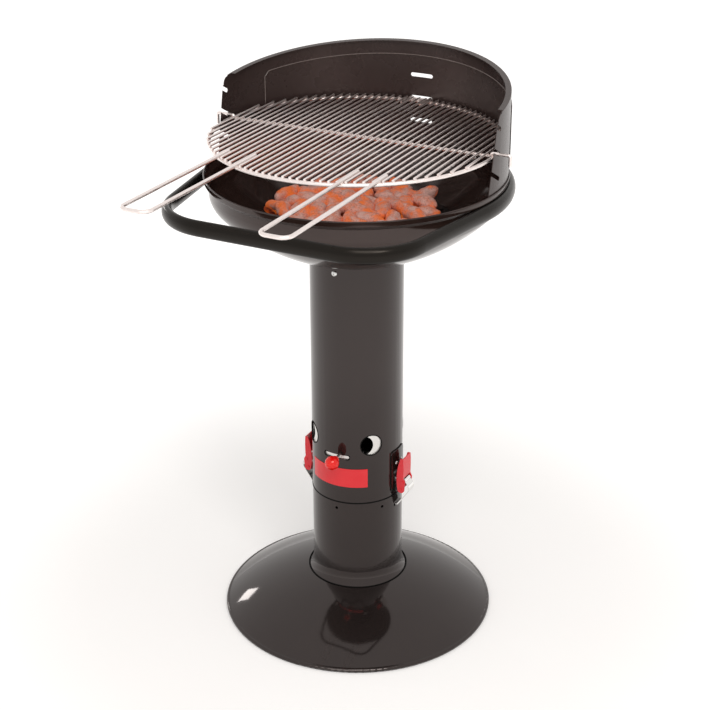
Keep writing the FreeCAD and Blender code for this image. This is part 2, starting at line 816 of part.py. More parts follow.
def handle_loop(inset):
    """The closed tube: a front bar, two bends, two straight sides and a round back."""
    centre, touch = handle_touch()
    corner = handle_section(inset, handle_corner, -90).revolve(
        Vector(0, 0, 0), Vector(0, 0, 1), 90 + touch)
    corner.translate(centre)
    side = handle_section(inset, handle_corner, touch)
    side.translate(centre)
    normal = Vector(math.cos(math.radians(touch)), math.sin(math.radians(touch)), 0)
    run = normal * (handle_radius - handle_corner) - centre
    right = [corner, side.extrude(run)]
    parts = list(right)
    for piece in right:
        parts.append(piece.mirror(Vector(0, 0, 0), Vector(1, 0, 0)))
    bar = handle_section(inset, handle_front, -90)
    bar.translate(Vector(-handle_corner_side, 0, 0))
    parts.append(bar.extrude(Vector(2 * handle_corner_side, 0, 0)))
    back = handle_section(inset, handle_radius, touch)
    parts.append(back.revolve(Vector(0, 0, 0), Vector(0, 0, 1), 180 - 2 * touch))
    loop = joined(parts)
    loop.translate(Vector(0, 0, handle_level))
    return loop


def ring_handle():
    """The bent oval tube round the bowl, with a straight grip bar in front."""
    tube = handle_loop(0).cut(handle_loop(handle_wall))
    return without(tube, rim_screw_holes())


def rim_screws():
    """Button-head screws inside the bowl: they hold the handle and the windscreen tabs."""
    screws = []
    seat = bowl_wall_radius - sheet - fit - screen_sheet - 0.1
    for angle in rim_screw_angles:
        head = round_head(5.3, 3.3, on_wall(seat, angle, handle_level), outward(angle) * -1)
        shank = radial_rod(rim_screw_size / 2, seat - 0.5, handle_radius + 3, handle_level, angle)
        screws.append(joined([head, shank]))
    return Part.makeCompound(screws)


def screen_top(y):
    return column_top + screen_side_top + screen_lean * y


def lean_cut(drop):
    """Everything above the leaning plane of the rim, lowered by a drop."""
    low = screen_top(-300) - drop
    high = screen_top(300) - drop
    top = column_top + 600
    edges = Part.makePolygon([Vector(-300, -300, low), Vector(-300, 300, high),
                              Vector(-300, 300, top), Vector(-300, -300, top),
                              Vector(-300, -300, low)])
    return Part.Face(edges).extrude(Vector(600, 0, 0))


def edge_y(level):
    return screen_edge_mid - screen_edge_slope * (cross_level - level)


def front_cut():
    """Everything in front of the leaning front edges of the windscreen."""
    low = screen_foot - screen_tab_drop - 40
    high = column_top + 600
    edges = Part.makePolygon([Vector(-300, -400, low), Vector(-300, edge_y(low), low),
                              Vector(-300, edge_y(high), high), Vector(-300, -400, high),
                              Vector(-300, -400, low)])
    return Part.Face(edges).extrude(Vector(600, 0, 0))


def corner_cut():
    """Rounds the upper front corners of the windscreen."""
    level = screen_top(edge_y(screen_top(0)))
    y = edge_y(level)
    block = box((-300, y - 30, level - screen_corner), (300, y + screen_corner, level + 30))
    arc = rod(screen_corner, (-301, y + screen_corner, level - screen_corner),
              (301, y + screen_corner, level - screen_corner))
    return block.cut(arc)


def notch(level):
    """A sloping slot, open at both front edges of the windscreen, for the cross wire."""
    turn = math.radians(notch_slope)
    radius = notch_half
    level += notch_half - cross_wire - fit
    length = 60
    forward = Vector(0, -math.cos(turn), math.sin(turn))
    end = Vector(0, notch_back, level)
    normal = Vector(0, math.sin(turn), math.cos(turn)) * radius
    start = Vector(-300, 0, 0)
    corners = [end + normal + start, end + forward * length + normal + start,
               end + forward * length - normal + start, end - normal + start, end + normal + start]
    slot = Part.Face(Part.makePolygon(corners)).extrude(Vector(600, 0, 0))
    return slot.fuse(rod(radius, (-300, notch_back, level), (300, notch_back, level)))


def rear_slot(level):
    """A level slot at the back for the tongue of the grid."""
    half = rear_slot_height / 2
    side = slot_width / 2 - half
    middle = box((-side, 180, level - half), (side, 260, level + half))
    ends = [middle]
    for way in (side, -side):
        ends.append(rod(half, (way, 180, level), (way, 260, level)))
    return joined(ends)


def grid_levels():
    levels = []
    for step in (1, 0, -1):
        levels.append(cross_level + step * level_pitch)
    return levels


def screen_tab(angle):
    """A tab that steps in below the shoulder of the bowl and follows its wall, with a screw hole."""
    outer = screen_radius
    inner = bowl_wall_radius - sheet - fit
    middle = bowl_line()[0]
    reach = inner - middle[0]
    turn = math.asin((wall_foot_level - screen_foot + screen_tab_drop) / reach)

    def curve(radius, angle):
        return (middle[0] + radius * math.cos(angle), middle[1] - radius * math.sin(angle))

    face = outline((outer, screen_foot + 3), (outer, screen_foot + 0.9),
                   (inner, shoulder_level + 0.2), (inner, wall_foot_level),
                   (curve(reach, turn / 2), curve(reach, turn)), curve(reach - screen_sheet, turn),
                   (curve(reach - screen_sheet, turn / 2), (inner - screen_sheet, wall_foot_level)),
                   (inner - screen_sheet, shoulder_level + 0.7),
                   (outer - screen_sheet, screen_foot + 1.5), (outer - screen_sheet, screen_foot + 3))
    sweep = math.degrees(screen_tab_width / inner)
    tab = face.revolve(Vector(0, 0, 0), Vector(0, 0, 1), sweep)
    tab.rotate(Vector(0, 0, 0), Vector(0, 0, 1), -90 - sweep / 2 + angle)
    return tab


def panel_field(spread):
    """The space of the pressed panel, widened by a spread on every side."""
    high = screen_top(260)
    front = screen_radius * math.sin(math.radians(panel_angle - 90))
    field = box((-300, front - spread, rim_level + 12 - spread), (300, 300, high + 50))
    return field.cut(lean_cut(panel_margin - spread))


def windscreen():
    """A half round screen: a pressed panel, a folded lip, three notches each side, slots behind."""
    high = screen_top(260)
    wall = ring(screen_radius, screen_inner, screen_foot + 1.2, high).cut(panel_field(0))
    panel = ring(screen_radius + panel_press, screen_inner + panel_press, rim_level, high)
    step = ring(screen_radius + panel_press, screen_inner, rim_level, high)
    step = step.common(panel_field(panel_step)).cut(panel_field(0))
    panel = panel.common(panel_field(0))
    lip = ring(screen_radius, screen_radius - screen_lip, screen_foot + 40, high)
    lip = lip.cut(lean_cut(0)).common(lean_cut(screen_sheet))
    lip = lip.common(box((-300, edge_y(high) + screen_corner, 0), (300, 300, high + 50)))
    wall = without(wall.cut(lean_cut(0)), [front_cut(), corner_cut()])
    tabs = []
    for angle in rim_screw_angles:
        tabs.append(screen_tab(angle))
    body = joined([wall, panel, step, lip] + tabs)
    cutters = rim_screw_holes()
    for level in grid_levels():
        cutters.append(notch(level))
        cutters.append(rear_slot(level - rear_slot_drop))
    return without(body, cutters)


def grid_ring():
    """The welded round rod that carries the bars of the cooking grid."""
    return Part.makeTorus(ring_middle, ring_wire, Vector(0, 0, ring_level))


def grid_bars():
    """Thirty-nine parallel bars that lie on the ring, each as long as its chord."""
    bars = []
    for step in range(bar_count):
        x = (step - (bar_count - 1) / 2) * bar_pitch
        half = math.sqrt((ring_outer - 1) ** 2 - x * x)
        bars.append(rod(bar_wire, (x, -half, bar_level), (x, half, bar_level)))
    return Part.makeCompound(bars)


def grid_cross_wire():
    """The wire under the bars that rests in the notches, stepped over the ring at its ends."""
    last_bar = (bar_count - 1) / 2 * bar_pitch + bar_wire
    under = ring_top - cross_wire
    over = ring_top + cross_wire
    out = screen_radius + cross_overhang
    points = []
    for way in (-1, 1):
        side = [Vector(way * (last_bar + 1.5), notch_back, under),
                Vector(way * (last_bar + 6.0), notch_back, over),
                Vector(way * out, notch_back, over),
                Vector(way * out, notch_back, over - cross_drop)]
        if way < 0:
            side.reverse()
        points += side
    return bent_wire(cross_wire, points, cross_bend)


def grid_loop(way):
    """A wire handle: two legs between bars and a grip bar that stands out in front."""
    inner = way * loop_inner_gap * bar_pitch
    outer = inner + way * loop_gap_bars * bar_pitch
    level = ring_top + loop_wire
    points = [Vector(inner, -loop_inside, level), Vector(inner, -loop_reach, level),
              Vector(outer, -loop_reach, level), Vector(outer, -loop_inside, level)]
    return bent_wire(loop_wire, points, loop_bend)


def grid_tongue():
    """The bent wire at the back of the grid that hooks into a slot of the windscreen."""
    side = 1.5 * bar_pitch
    start = tongue_bend - 40
    reach = tongue_reach + 2.0
    level = tongue_level
    parts = []
    low = Vector(0, tongue_bend + reach * math.cos(tongue_turn),
                 level - reach * math.sin(tongue_turn))
    for way in (1, -1):
        parts.append(rod(bar_wire, (way * side, start, level), (way * side, tongue_bend, level)))
        parts.append(Part.makeSphere(bar_wire, Vector(way * side, tongue_bend, level)))
        parts.append(rod(bar_wire, (way * side, tongue_bend, level), (way * side, low.y, low.z)))
        parts.append(Part.makeSphere(bar_wire, Vector(way * side, low.y, low.z)))
    parts.append(rod(bar_wire, (-side, low.y, low.z), (side, low.y, low.z)))
    return joined(parts)


def fire_grate():
    """The loose slotted plate at the bottom of the bowl that the charcoal lies on."""
    low = inside_level(grate_radius) + fit
    plate = Part.makeCylinder(grate_radius, grate_sheet, Vector(0, 0, low))
    cutters = []
    for count, inner, outer in ((6, 14, 46), (12, 58, 98), (20, 110, 152)):
        for step in range(count):
            start = rod(4, (inner, 0, low - 1), (inner, 0, low + 5))
            end = rod(4, (outer, 0, low - 1), (outer, 0, low + 5))
            middle = box((inner, -4, low - 1), (outer, 4, low + 5))
            cutters.append(turned(joined([start, end, middle]), 360 * step / count))
    return without(plate, cutters)


def coal_lump(size, seed):
    """A rough lump: a block with its corners struck off, tilted and turned by its seed."""
    lump = box((-size, -0.8 * size, -0.65 * size), (size, 0.8 * size, 0.65 * size))
    for step in range(8):
        way = Vector((-1) ** step, (-1) ** (step // 2), (-1) ** (step // 4)).normalize()
        depth = size * (1.05 + 0.12 * math.sin(seed * 3.7 + step * 2.1))
        lump = lump.cut(Part.makeCylinder(3 * size, 2 * size, way * depth, way))
    lump.rotate(Vector(0, 0, 0), Vector(1, 0, 0), 25 * math.sin(seed * 1.3))
    lump.rotate(Vector(0, 0, 0), Vector(0, 0, 1), seed * 67.0)
    return lump


def charcoal():
    """A bed of glowing lumps, fused where they touch and cut flat on the fire grate."""
    low = inside_level(grate_radius) + fit + grate_sheet + fit
    lumps = []
    for step in range(coal_count):
        share = (step + 0.5) / coal_count
        radius = coal_radius * math.sqrt(share)
        angle = math.radians(step * 137.508)
        rise = coal_core + 2.5 * math.sin(step * 2.3) - 8 * share ** 6
        lump = coal_lump(coal_size * (1 + 0.18 * math.sin(step * 1.9)), step)
        lump.translate(Vector(radius * math.cos(angle), radius * math.sin(angle), low + rise))
        lumps.append(lump)
    core = Part.makeCone(coal_radius, coal_radius - 12, coal_core, Vector(0, 0, low))
    bed = joined([core] + lumps)
    return bed.cut(box((-300, -300, low - 100), (300, 300, low)))


def save(name, shape):
    shape.exportStep("parts/" + name + ".step")


def main():
    os.makedirs("parts", exist_ok=True)
    save("base_plate", base_plate())
    save("ash_pot", ash_pot())
    save("pot_bolts", pot_bolts())
    save("pot_nuts", pot_nuts())
    save("column_tube", column_tube())
    save("joint_collar", joint_collar())
    save("damper_ring", damper_ring())
    save("damper_stem", damper_stem())
    save("damper_knob", damper_knob())
    save("bracket_rivets", bracket_rivets())
    for word, side in (("right", 90), ("left", -90)):
        save("latch_bracket_" + word, latch_bracket(side))
        save("latch_lever_" + word, latch_lever(side))
        save("latch_hook_" + word, latch_hook(side))
        save("lever_pin_" + word, latch_pin(lever_pivot, side))
        save("hook_pin_" + word, latch_pin(hook_pivot, side))
    save("bowl", bowl())
    save("bowl_neck", bowl_neck())
    save("neck_screws", neck_screws())
    save("neck_nuts", neck_nuts())
    save("floor_bolts", floor_bolts())
    save("floor_nuts", floor_nuts())
    save("ring_handle", ring_handle())
    save("rim_screws", rim_screws())
    save("windscreen", windscreen())
    save("grid_ring", grid_ring())
    save("grid_bars", grid_bars())
    save("grid_cross_wire", grid_cross_wire())
    save("grid_loop_right", grid_loop(1))
    save("grid_loop_left", grid_loop(-1))
    save("grid_tongue", grid_tongue())
    save("fire_grate", fire_grate())
    save("charcoal", charcoal())


main()
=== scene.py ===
"""A charcoal barbecue on a round pedestal, put together piece by piece from the floor up.

Everything is in metres, +Z up, and -Y is the front, where the air knob and the wire handles are.
Angles round the column are measured from the front towards +X.
"""
import math

import bmesh
import bpy
from mathutils import Matrix, Vector


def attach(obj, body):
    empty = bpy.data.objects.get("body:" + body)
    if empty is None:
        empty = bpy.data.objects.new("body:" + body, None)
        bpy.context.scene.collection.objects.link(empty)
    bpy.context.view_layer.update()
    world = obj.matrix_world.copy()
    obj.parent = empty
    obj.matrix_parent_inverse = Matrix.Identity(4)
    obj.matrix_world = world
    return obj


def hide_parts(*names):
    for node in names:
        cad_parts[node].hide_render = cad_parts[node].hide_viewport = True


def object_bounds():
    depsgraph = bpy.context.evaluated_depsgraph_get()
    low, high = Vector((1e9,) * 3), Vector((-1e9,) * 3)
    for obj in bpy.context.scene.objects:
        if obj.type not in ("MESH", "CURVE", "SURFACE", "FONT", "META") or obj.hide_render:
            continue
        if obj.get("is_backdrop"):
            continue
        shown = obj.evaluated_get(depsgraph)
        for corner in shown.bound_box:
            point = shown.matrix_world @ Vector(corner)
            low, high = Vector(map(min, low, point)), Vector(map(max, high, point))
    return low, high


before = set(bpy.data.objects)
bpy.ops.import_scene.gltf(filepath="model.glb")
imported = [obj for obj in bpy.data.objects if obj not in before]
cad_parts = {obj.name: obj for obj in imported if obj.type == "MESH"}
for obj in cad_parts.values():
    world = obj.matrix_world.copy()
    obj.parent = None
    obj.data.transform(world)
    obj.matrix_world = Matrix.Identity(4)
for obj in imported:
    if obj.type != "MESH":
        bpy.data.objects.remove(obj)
cad_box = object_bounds()
scene = bpy.context.scene


# Camera. The barbecue was seen from its front right, from a little above the windscreen and with a
# long lens, so that its upright lines stay nearly parallel.
camera_place = (1.0793, -2.0841, 1.5463)
camera_azimuth = 27.2
camera_pitch = 24.83
camera_roll = -0.133
camera_data = bpy.data.cameras.new("camera")
camera_data.sensor_width = 36.0
camera_data.lens = 81.06
camera_data.shift_x = -0.0093
camera = bpy.data.objects.new("camera", camera_data)
camera.matrix_world = (
    Matrix.Translation(camera_place)
    @ Matrix.Rotation(math.radians(camera_azimuth), 4, "Z")
    @ Matrix.Rotation(math.radians(90 - camera_pitch), 4, "X")
    @ Matrix.Rotation(math.radians(camera_roll), 4, "Z"))
scene.collection.objects.link(camera)
scene.camera = camera
scene.view_settings.view_transform = "Standard"


# Floor and light. A studio floor painted white under a soft white room. The paint shows as plain
# white away from the barbecue, and keeps the soft shadow round the base dish.
room_light = 0.70
room_shown = 1.0
floor_radius = 14.0
floor_gap = 0.0002
shadow_reach = 0.40
white_reach = 1.10
glow_near = 0.12
glow_far = 0.46


def linear(code):
    """An sRGB hex colour as linear red, green, blue and alpha."""
    parts = [int(code[step:step + 2], 16) / 255 for step in (1, 3, 5)]
    return [p / 12.92 if p <= 0.04045 else ((p + 0.055) / 1.055) ** 2.4 for p in parts] + [1.0]


def add(tree, kind, settings=None, inputs=None):
    """One node with its settings. An input is a value, or the socket that it is linked from."""
    node = tree.nodes.new(kind)
    for key, value in (settings or {}).items():
        setattr(node, key, value)
    for key, value in (inputs or {}).items():
        if isinstance(value, bpy.types.NodeSocket):
            tree.links.new(value, node.inputs[key])
        else:
            node.inputs[key].default_value = value
    return node


def blank_material(name):
    """A new material, its node tree and its output node."""
    material = bpy.data.materials.new(name)
    material.use_nodes = True
    material.node_tree.nodes.clear()
    return material, material.node_tree, add(material.node_tree, "ShaderNodeOutputMaterial")


def shown(tree):
    """One for the rays that show the background: straight, in a reflection or through glass."""
    ray = add(tree, "ShaderNodeLightPath")
    most = add(tree, "ShaderNodeMath", {"operation": "MAXIMUM"},
               {0: ray.outputs["Is Camera Ray"], 1: ray.outputs["Is Glossy Ray"]})
    return add(tree, "ShaderNodeMath", {"operation": "MAXIMUM"},
               {0: most.outputs[0], 1: ray.outputs["Is Transmission Ray"]}).outputs[0]


room = bpy.data.worlds.new("white_room")
scene.world = room
room.use_nodes = True
tree = room.node_tree
tree.nodes.clear()
strength = add(tree, "ShaderNodeMapRange", None,
               {"Value": shown(tree), "To Min": room_light, "To Max": room_shown})
light = add(tree, "ShaderNodeBackground", None,
            {"Color": linear("#fffdfb"), "Strength": strength.outputs[0]})
add(tree, "ShaderNodeOutputWorld", None, {"Surface": light.outputs[0]})

# Matt white floor paint, rolled on: almost even in tone, with no gloss.
material, tree, output = blank_material("studio_floor_paint")
place = add(tree, "ShaderNodeTexCoord").outputs["Object"]
reach = add(tree, "ShaderNodeVectorMath", {"operation": "LENGTH"}, {0: place})
spread = add(tree, "ShaderNodeMapRange", {"interpolation_type": "SMOOTHSTEP"},
             {"Value": reach.outputs["Value"], "From Min": shadow_reach, "From Max": white_reach,
              "To Min": glow_near, "To Max": glow_far})
glow = add(tree, "ShaderNodeMath", {"operation": "MULTIPLY"}, {0: shown(tree), 1: spread.outputs[0]})
grain = add(tree, "ShaderNodeTexNoise", None, {"Vector": place, "Scale": 3.0})
tone = add(tree, "ShaderNodeMixRGB", None,
           {"Fac": grain.outputs["Fac"], "Color1": linear("#f7f5f4"), "Color2": linear("#f9f8f7")})
paint = add(tree, "ShaderNodeBsdfDiffuse", None, {"Color": tone.outputs[0], "Roughness": 0.4})
shine = add(tree, "ShaderNodeEmission", None, {"Color": linear("#ffffff"), "Strength": glow.outputs[0]})
floor_paint = add(tree, "ShaderNodeAddShader", None, {0: paint.outputs[0], 1: shine.outputs[0]})
tree.links.new(floor_paint.outputs[0], output.inputs["Surface"])

mesh = bpy.data.meshes.new("floor")
outline = bmesh.new()
bmesh.ops.create_circle(outline, cap_ends=True, segments=64, radius=floor_radius)
outline.to_mesh(mesh)
outline.free()
mesh.materials.append(material)
floor = bpy.data.objects.new("floor", mesh)
floor.location.z = cad_box[0][2] - floor_gap
scene.collection.objects.link(floor)
floor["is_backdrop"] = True


def soft_lamp(name, place, aim, width, height, watts):
    """A large white softbox."""
    lamp = bpy.data.lights.new(name, "AREA")
    lamp.shape = "RECTANGLE"
    lamp.size = width
    lamp.size_y = height
    lamp.energy = watts
    lamp.color = linear("#fffdfa")[:3]
    item = bpy.data.objects.new(name, lamp)
    item.matrix_world = Matrix.Translation(place) @ (
        Vector(aim) - Vector(place)).to_track_quat("-Z", "Y").to_matrix().to_4x4()
    item.visible_camera = False
    scene.collection.objects.link(item)


soft_lamp("lamp_above", (1.3, -2.6, 3.3), aim=(0, 0, 0.4), width=2.0, height=2.0, watts=38)
soft_lamp("lamp_right", (2.0, -1.6, 2.5), aim=(0, 0, 0.5), width=0.7, height=0.7, watts=15)
soft_lamp("lamp_behind_left", (-2.72, 1.05, 1.10), aim=(-0.17, -0.11, 0.03),
          width=0.30, height=0.30, watts=3)


# Base dish. Spun from steel sheet with its edge rolled under, then coated with black porcelain
# enamel and fired: glassy, nearly black with a brown cast, and faintly wavy like an orange skin.
enamel_cloud = 0.060
enamel_wave = 0.045
enamel_skin = 0.0035


def surface_noise(tree, spacing, low, high):
    """A noise of a given spacing over the piece, and the same noise spread between two values."""
    place = add(tree, "ShaderNodeTexCoord").outputs["Object"]
    noise = add(tree, "ShaderNodeTexNoise", None,
                {"Vector": place, "Scale": 1 / spacing, "Detail": 4.0, "Roughness": 0.6})
    spread = add(tree, "ShaderNodeMapRange", None,
                 {"Value": noise.outputs["Fac"], "From Min": 0.3, "From Max": 0.7,
                  "To Min": low, "To Max": high})
    return noise.outputs["Fac"], spread.outputs[0]


def dressed(node, material):
    """Gives a piece of the frame its finish."""
    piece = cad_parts[node]
    piece.data.materials.clear()
    piece.data.materials.append(material)


def enamel(name, dark, light, low, high, wave_depth, skin_depth, glassiness):
    """Fired black enamel: a glassy coat with cloudy tone, over a slow wave and an orange skin.

    The skin is finer in fact, and is drawn as coarse as it has to be to show.
    """
    material, tree, output = blank_material(name)
    place = add(tree, "ShaderNodeTexCoord").outputs["Object"]
    cloud, dull = surface_noise(tree, enamel_cloud, low, high)
    wave = add(tree, "ShaderNodeTexNoise", None,
               {"Vector": place, "Scale": 1 / enamel_wave, "Detail": 1.0, "Roughness": 0.3})
    skin = add(tree, "ShaderNodeTexNoise", None,
               {"Vector": place, "Scale": 1 / enamel_skin, "Detail": 2.0, "Roughness": 0.4})
    tone = add(tree, "ShaderNodeMixRGB", None,
               {"Fac": cloud, "Color1": linear(dark), "Color2": linear(light)})
    relief = add(tree, "ShaderNodeBump", None,
                 {"Strength": 1.0, "Distance": wave_depth, "Height": wave.outputs["Fac"]})
    relief = add(tree, "ShaderNodeBump", None,
                 {"Strength": 0.5, "Distance": skin_depth, "Height": skin.outputs["Fac"],
                  "Normal": relief.outputs[0]})
    coat = add(tree, "ShaderNodeBsdfPrincipled", None,
               {"Base Color": tone.outputs[0], "Roughness": dull, "IOR": glassiness,
                "Specular Tint": linear("#fff1ee"), "Normal": relief.outputs[0]})
    tree.links.new(coat.outputs[0], output.inputs["Surface"])
    return material


gloss_enamel = enamel("porcelain_enamel_black_gloss", "#1b1616", "#251f1d", low=0.05, high=0.10,
                      wave_depth=0.00008, skin_depth=0.000006, glassiness=1.5)
dressed("base_plate", gloss_enamel)


# Ash pot. The lower part of the column, a flared tube with a floor that stands on the dish and is
# held by three bolts. It is enamelled like the dish.
dressed("ash_pot", gloss_enamel)

# Zinc, plated on cold headed steel: pale and softly bright, with a faint mottle. Its crystals are
# far finer, and are drawn at 2 mm so that they show.
zinc, tree, output = blank_material("zinc_plated_steel")
cloud, dull = surface_noise(tree, spacing=0.002, low=0.20, high=0.34)
tone = add(tree, "ShaderNodeMixRGB", None,
           {"Fac": cloud, "Color1": linear("#c2c4c6"), "Color2": linear("#dedcd7")})
relief = add(tree, "ShaderNodeBump", None, {"Strength": 0.3, "Distance": 0.00002, "Height": cloud})
plate = add(tree, "ShaderNodeBsdfPrincipled", None,
            {"Base Color": tone.outputs[0], "Metallic": 1.0, "Roughness": dull,
             "Normal": relief.outputs[0]})
tree.links.new(plate.outputs[0], output.inputs["Surface"])
dressed("pot_bolts", zinc)
dressed("pot_nuts", zinc)


# Column. A plain tube with four round vents, enamelled inside and out. The thin ring in its foot
# and the damper band behind the vents are bare aluminised steel, rolled from strip.
dressed("column_tube", gloss_enamel)

# Hot dipped aluminium on rolled strip: a pale, dull metal with a soft, cloudy shine.
aluminised, tree, output = blank_material("aluminised_steel_strip")
cloud, dull = surface_noise(tree, spacing=0.004, low=0.34, high=0.46)
tone = add(tree, "ShaderNodeMixRGB", None,
           {"Fac": cloud, "Color1": linear("#d2cfcc"), "Color2": linear("#e2e0dd")})
strip = add(tree, "ShaderNodeBsdfPrincipled", None,
            {"Base Color": tone.outputs[0], "Metallic": 1.0, "Roughness": dull})
tree.links.new(strip.outputs[0], output.inputs["Surface"])
dressed("joint_collar", aluminised)
dressed("damper_ring", aluminised)


# Painted shadow and shade. A thin black ring lies in the joint between the column and the ash pot
# and under the pot's foot as painted shadow, and thin black rings round the punched vents and slot are
# painted shade of their cut edges.
tube_radius = 0.0750
vent_level = 0.3329
vent_width = 0.0344
vent_angles = (45, 135, -135, -45)
slot_level = 0.3113
slot_width = 0.0446
slot_height = 0.0066
painted_shade_width = 0.0008
edge_gap = 0.0009
nearly_half = 0.4995

# Painted shadow and shade: matt and all but black, with a fine grain.
painted_shadow_black, tree, output = blank_material("painted_shadow_matt_black")
cloud, dull = surface_noise(tree, spacing=0.0010, low=0.55, high=0.75)
relief = add(tree, "ShaderNodeBump", None, {"Strength": 0.5, "Distance": 0.0001, "Height": cloud})
tone = add(tree, "ShaderNodeMixRGB", None,
           {"Fac": cloud, "Color1": linear("#020202"), "Color2": linear("#080707")})
painted_shadow_coat = add(tree, "ShaderNodeBsdfPrincipled", None,
           {"Base Color": tone.outputs[0], "Roughness": dull, "IOR": 1.2,
            "Normal": relief.outputs[0]})
tree.links.new(painted_shadow_coat.outputs[0], output.inputs["Surface"])


def form_tree(name, sockets):
    """A geometry tree with named inputs, its group input and its group output."""
    tree = bpy.data.node_groups.new(name, "GeometryNodeTree")
    for label, kind, value in sockets:
        socket = tree.interface.new_socket(label, in_out="INPUT", socket_type="NodeSocket" + kind)
        if value is not None:
            socket.default_value = value
    tree.interface.new_socket("Mesh", in_out="OUTPUT", socket_type="NodeSocketGeometry")
    return tree, add(tree, "NodeGroupInput"), add(tree, "NodeGroupOutput")


def on_circle(tree, angle, radius, level):
    """The point round the column at an angle from the front, a radius and a level."""
    side = add(tree, "ShaderNodeMath", {"operation": "SINE"}, {0: angle})
    front = add(tree, "ShaderNodeMath", {"operation": "COSINE"}, {0: angle})
    minus = add(tree, "ShaderNodeMath", {"operation": "MULTIPLY"}, {0: radius, 1: -1.0})
    across = add(tree, "ShaderNodeMath", {"operation": "MULTIPLY"}, {0: side.outputs[0], 1: radius})
    ahead = add(tree, "ShaderNodeMath", {"operation": "MULTIPLY"},
                {0: front.outputs[0], 1: minus.outputs[0]})
    return add(tree, "ShaderNodeCombineXYZ", None,
               {"X": across.outputs[0], "Y": ahead.outputs[0], "Z": level}).outputs[0]


def ended(tree, given, result, shape):
    """Ends a tree: its instances are made real and get the finish that it is given."""
    real = add(tree, "GeometryNodeRealizeInstances", None, {0: shape})
    coated = add(tree, "GeometryNodeSetMaterial", None,
                 {"Geometry": real.outputs[0], "Material": given.outputs["Finish"]})
    tree.links.new(coated.outputs[0], result.inputs[0])


def formed(name, tree, sizes):
    """The plain mesh that a geometry tree makes from its named sizes."""
    piece = bpy.data.objects.new(name, bpy.data.meshes.new(name))
    scene.collection.objects.link(piece)
    modifier = piece.modifiers.new("form", "NODES")
    modifier.node_group = tree
    for item in tree.interface.items_tree:
        if item.in_out == "INPUT" and item.name in sizes:
            modifier[item.identifier] = sizes[item.name]
    bpy.context.view_layer.update()
    mesh = bpy.data.meshes.new_from_object(piece.evaluated_get(bpy.context.evaluated_depsgraph_get()))
    piece.modifiers.remove(modifier)
    piece.data = mesh
    return piece


def merged(name, parts):
    """Several plain meshes as one piece."""
    whole = bmesh.new()
    for part in parts:
        whole.from_mesh(part.data)
        bpy.data.objects.remove(part)
    mesh = bpy.data.meshes.new(name)
    whole.to_mesh(mesh)
    whole.free()
    piece = bpy.data.objects.new(name, mesh)
    scene.collection.objects.link(piece)
    return piece


def settled(piece, material, body, angle=35):
    """Applies the modifiers, smooths round faces, gives the finish and sets it on its body."""
    bpy.context.view_layer.update()
    mesh = bpy.data.meshes.new_from_object(piece.evaluated_get(bpy.context.evaluated_depsgraph_get()))
    piece.modifiers.clear()
    piece.data = mesh
    mesh.materials.clear()
    mesh.materials.append(material)
    mesh.shade_smooth()
    mesh.set_sharp_from_angle(angle=math.radians(angle))
    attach(piece, body)
    return piece


tree, given, result = form_tree("painted_shadow_ring_round_a_tube", [
    ("Circle", "Float", 0.075), ("Level", "Float", 0.2), ("Shadow Width", "Float", 0.001),
    ("Finish", "Material", None)])
path = add(tree, "GeometryNodeCurvePrimitiveCircle", None,
           {"Resolution": 128, "Radius": given.outputs["Circle"]})
section = add(tree, "GeometryNodeCurvePrimitiveCircle", None,
              {"Resolution": 12, "Radius": given.outputs["Shadow Width"]})
cords = add(tree, "GeometryNodeCurveToMesh", None,
            {"Curve": path.outputs[0], "Profile Curve": section.outputs[0]})
rise = add(tree, "ShaderNodeCombineXYZ", None, {"Z": given.outputs["Level"]})
cords = add(tree, "GeometryNodeTransform", None,
            {"Geometry": cords.outputs[0], "Translation": rise.outputs[0]})
ended(tree, given, result, cords.outputs[0])

# Painted shadow: black rings standing for the shadow in the joint and under the foot.
painted_shadow_ring_parts = []
for name, circle, level, size in (("joint", 0.0743, 0.2271, 0.0015), ("foot", 0.0831, 0.0709, 0.0009)):
    painted_shadow_ring_parts.append(formed("seal_" + name, tree, {
        "Circle": circle, "Level": level, "Shadow Width": size, "Finish": painted_shadow_black}))
seal_cords = settled(merged("seal_cords", painted_shadow_ring_parts), painted_shadow_black, "stand")

tree, given, result = form_tree("painted_shade_round_an_opening", [
    ("Tube", "Float", 0.075), ("Width", "Float", 0.034), ("Height", "Float", 0.034),
    ("Middle", "Float", 0.0), ("Level", "Float", 0.33), ("Shade Line", "Float", 0.0006),
    ("Finish", "Material", None)])
path = add(tree, "GeometryNodeCurvePrimitiveQuadrilateral", None,
           {"Width": given.outputs["Width"], "Height": given.outputs["Height"]})
corner = add(tree, "ShaderNodeMath", {"operation": "MULTIPLY"},
             {0: given.outputs["Height"], 1: nearly_half})
path = add(tree, "GeometryNodeFilletCurve", {"mode": "POLY"},
           {"Curve": path.outputs[0], "Radius": corner.outputs[0], "Count": 12})
where = add(tree, "ShaderNodeSeparateXYZ", None, {0: add(tree, "GeometryNodeInputPosition").outputs[0]})
bend = add(tree, "ShaderNodeMath", {"operation": "DIVIDE"},
           {0: where.outputs["X"], 1: given.outputs["Tube"]})
angle = add(tree, "ShaderNodeMath", {"operation": "ADD"},
            {0: bend.outputs[0], 1: given.outputs["Middle"]})
level = add(tree, "ShaderNodeMath", {"operation": "ADD"},
            {0: where.outputs["Y"], 1: given.outputs["Level"]})
spot = on_circle(tree, angle.outputs[0], given.outputs["Tube"], level.outputs[0])
path = add(tree, "GeometryNodeSetPosition", None, {"Geometry": path.outputs[0], "Position": spot})
section = add(tree, "GeometryNodeCurvePrimitiveCircle", None,
              {"Resolution": 10, "Radius": given.outputs["Shade Line"]})
painted_shade_rings = add(tree, "GeometryNodeCurveToMesh", None,
           {"Curve": path.outputs[0], "Profile Curve": section.outputs[0]})
ended(tree, given, result, painted_shade_rings.outputs[0])
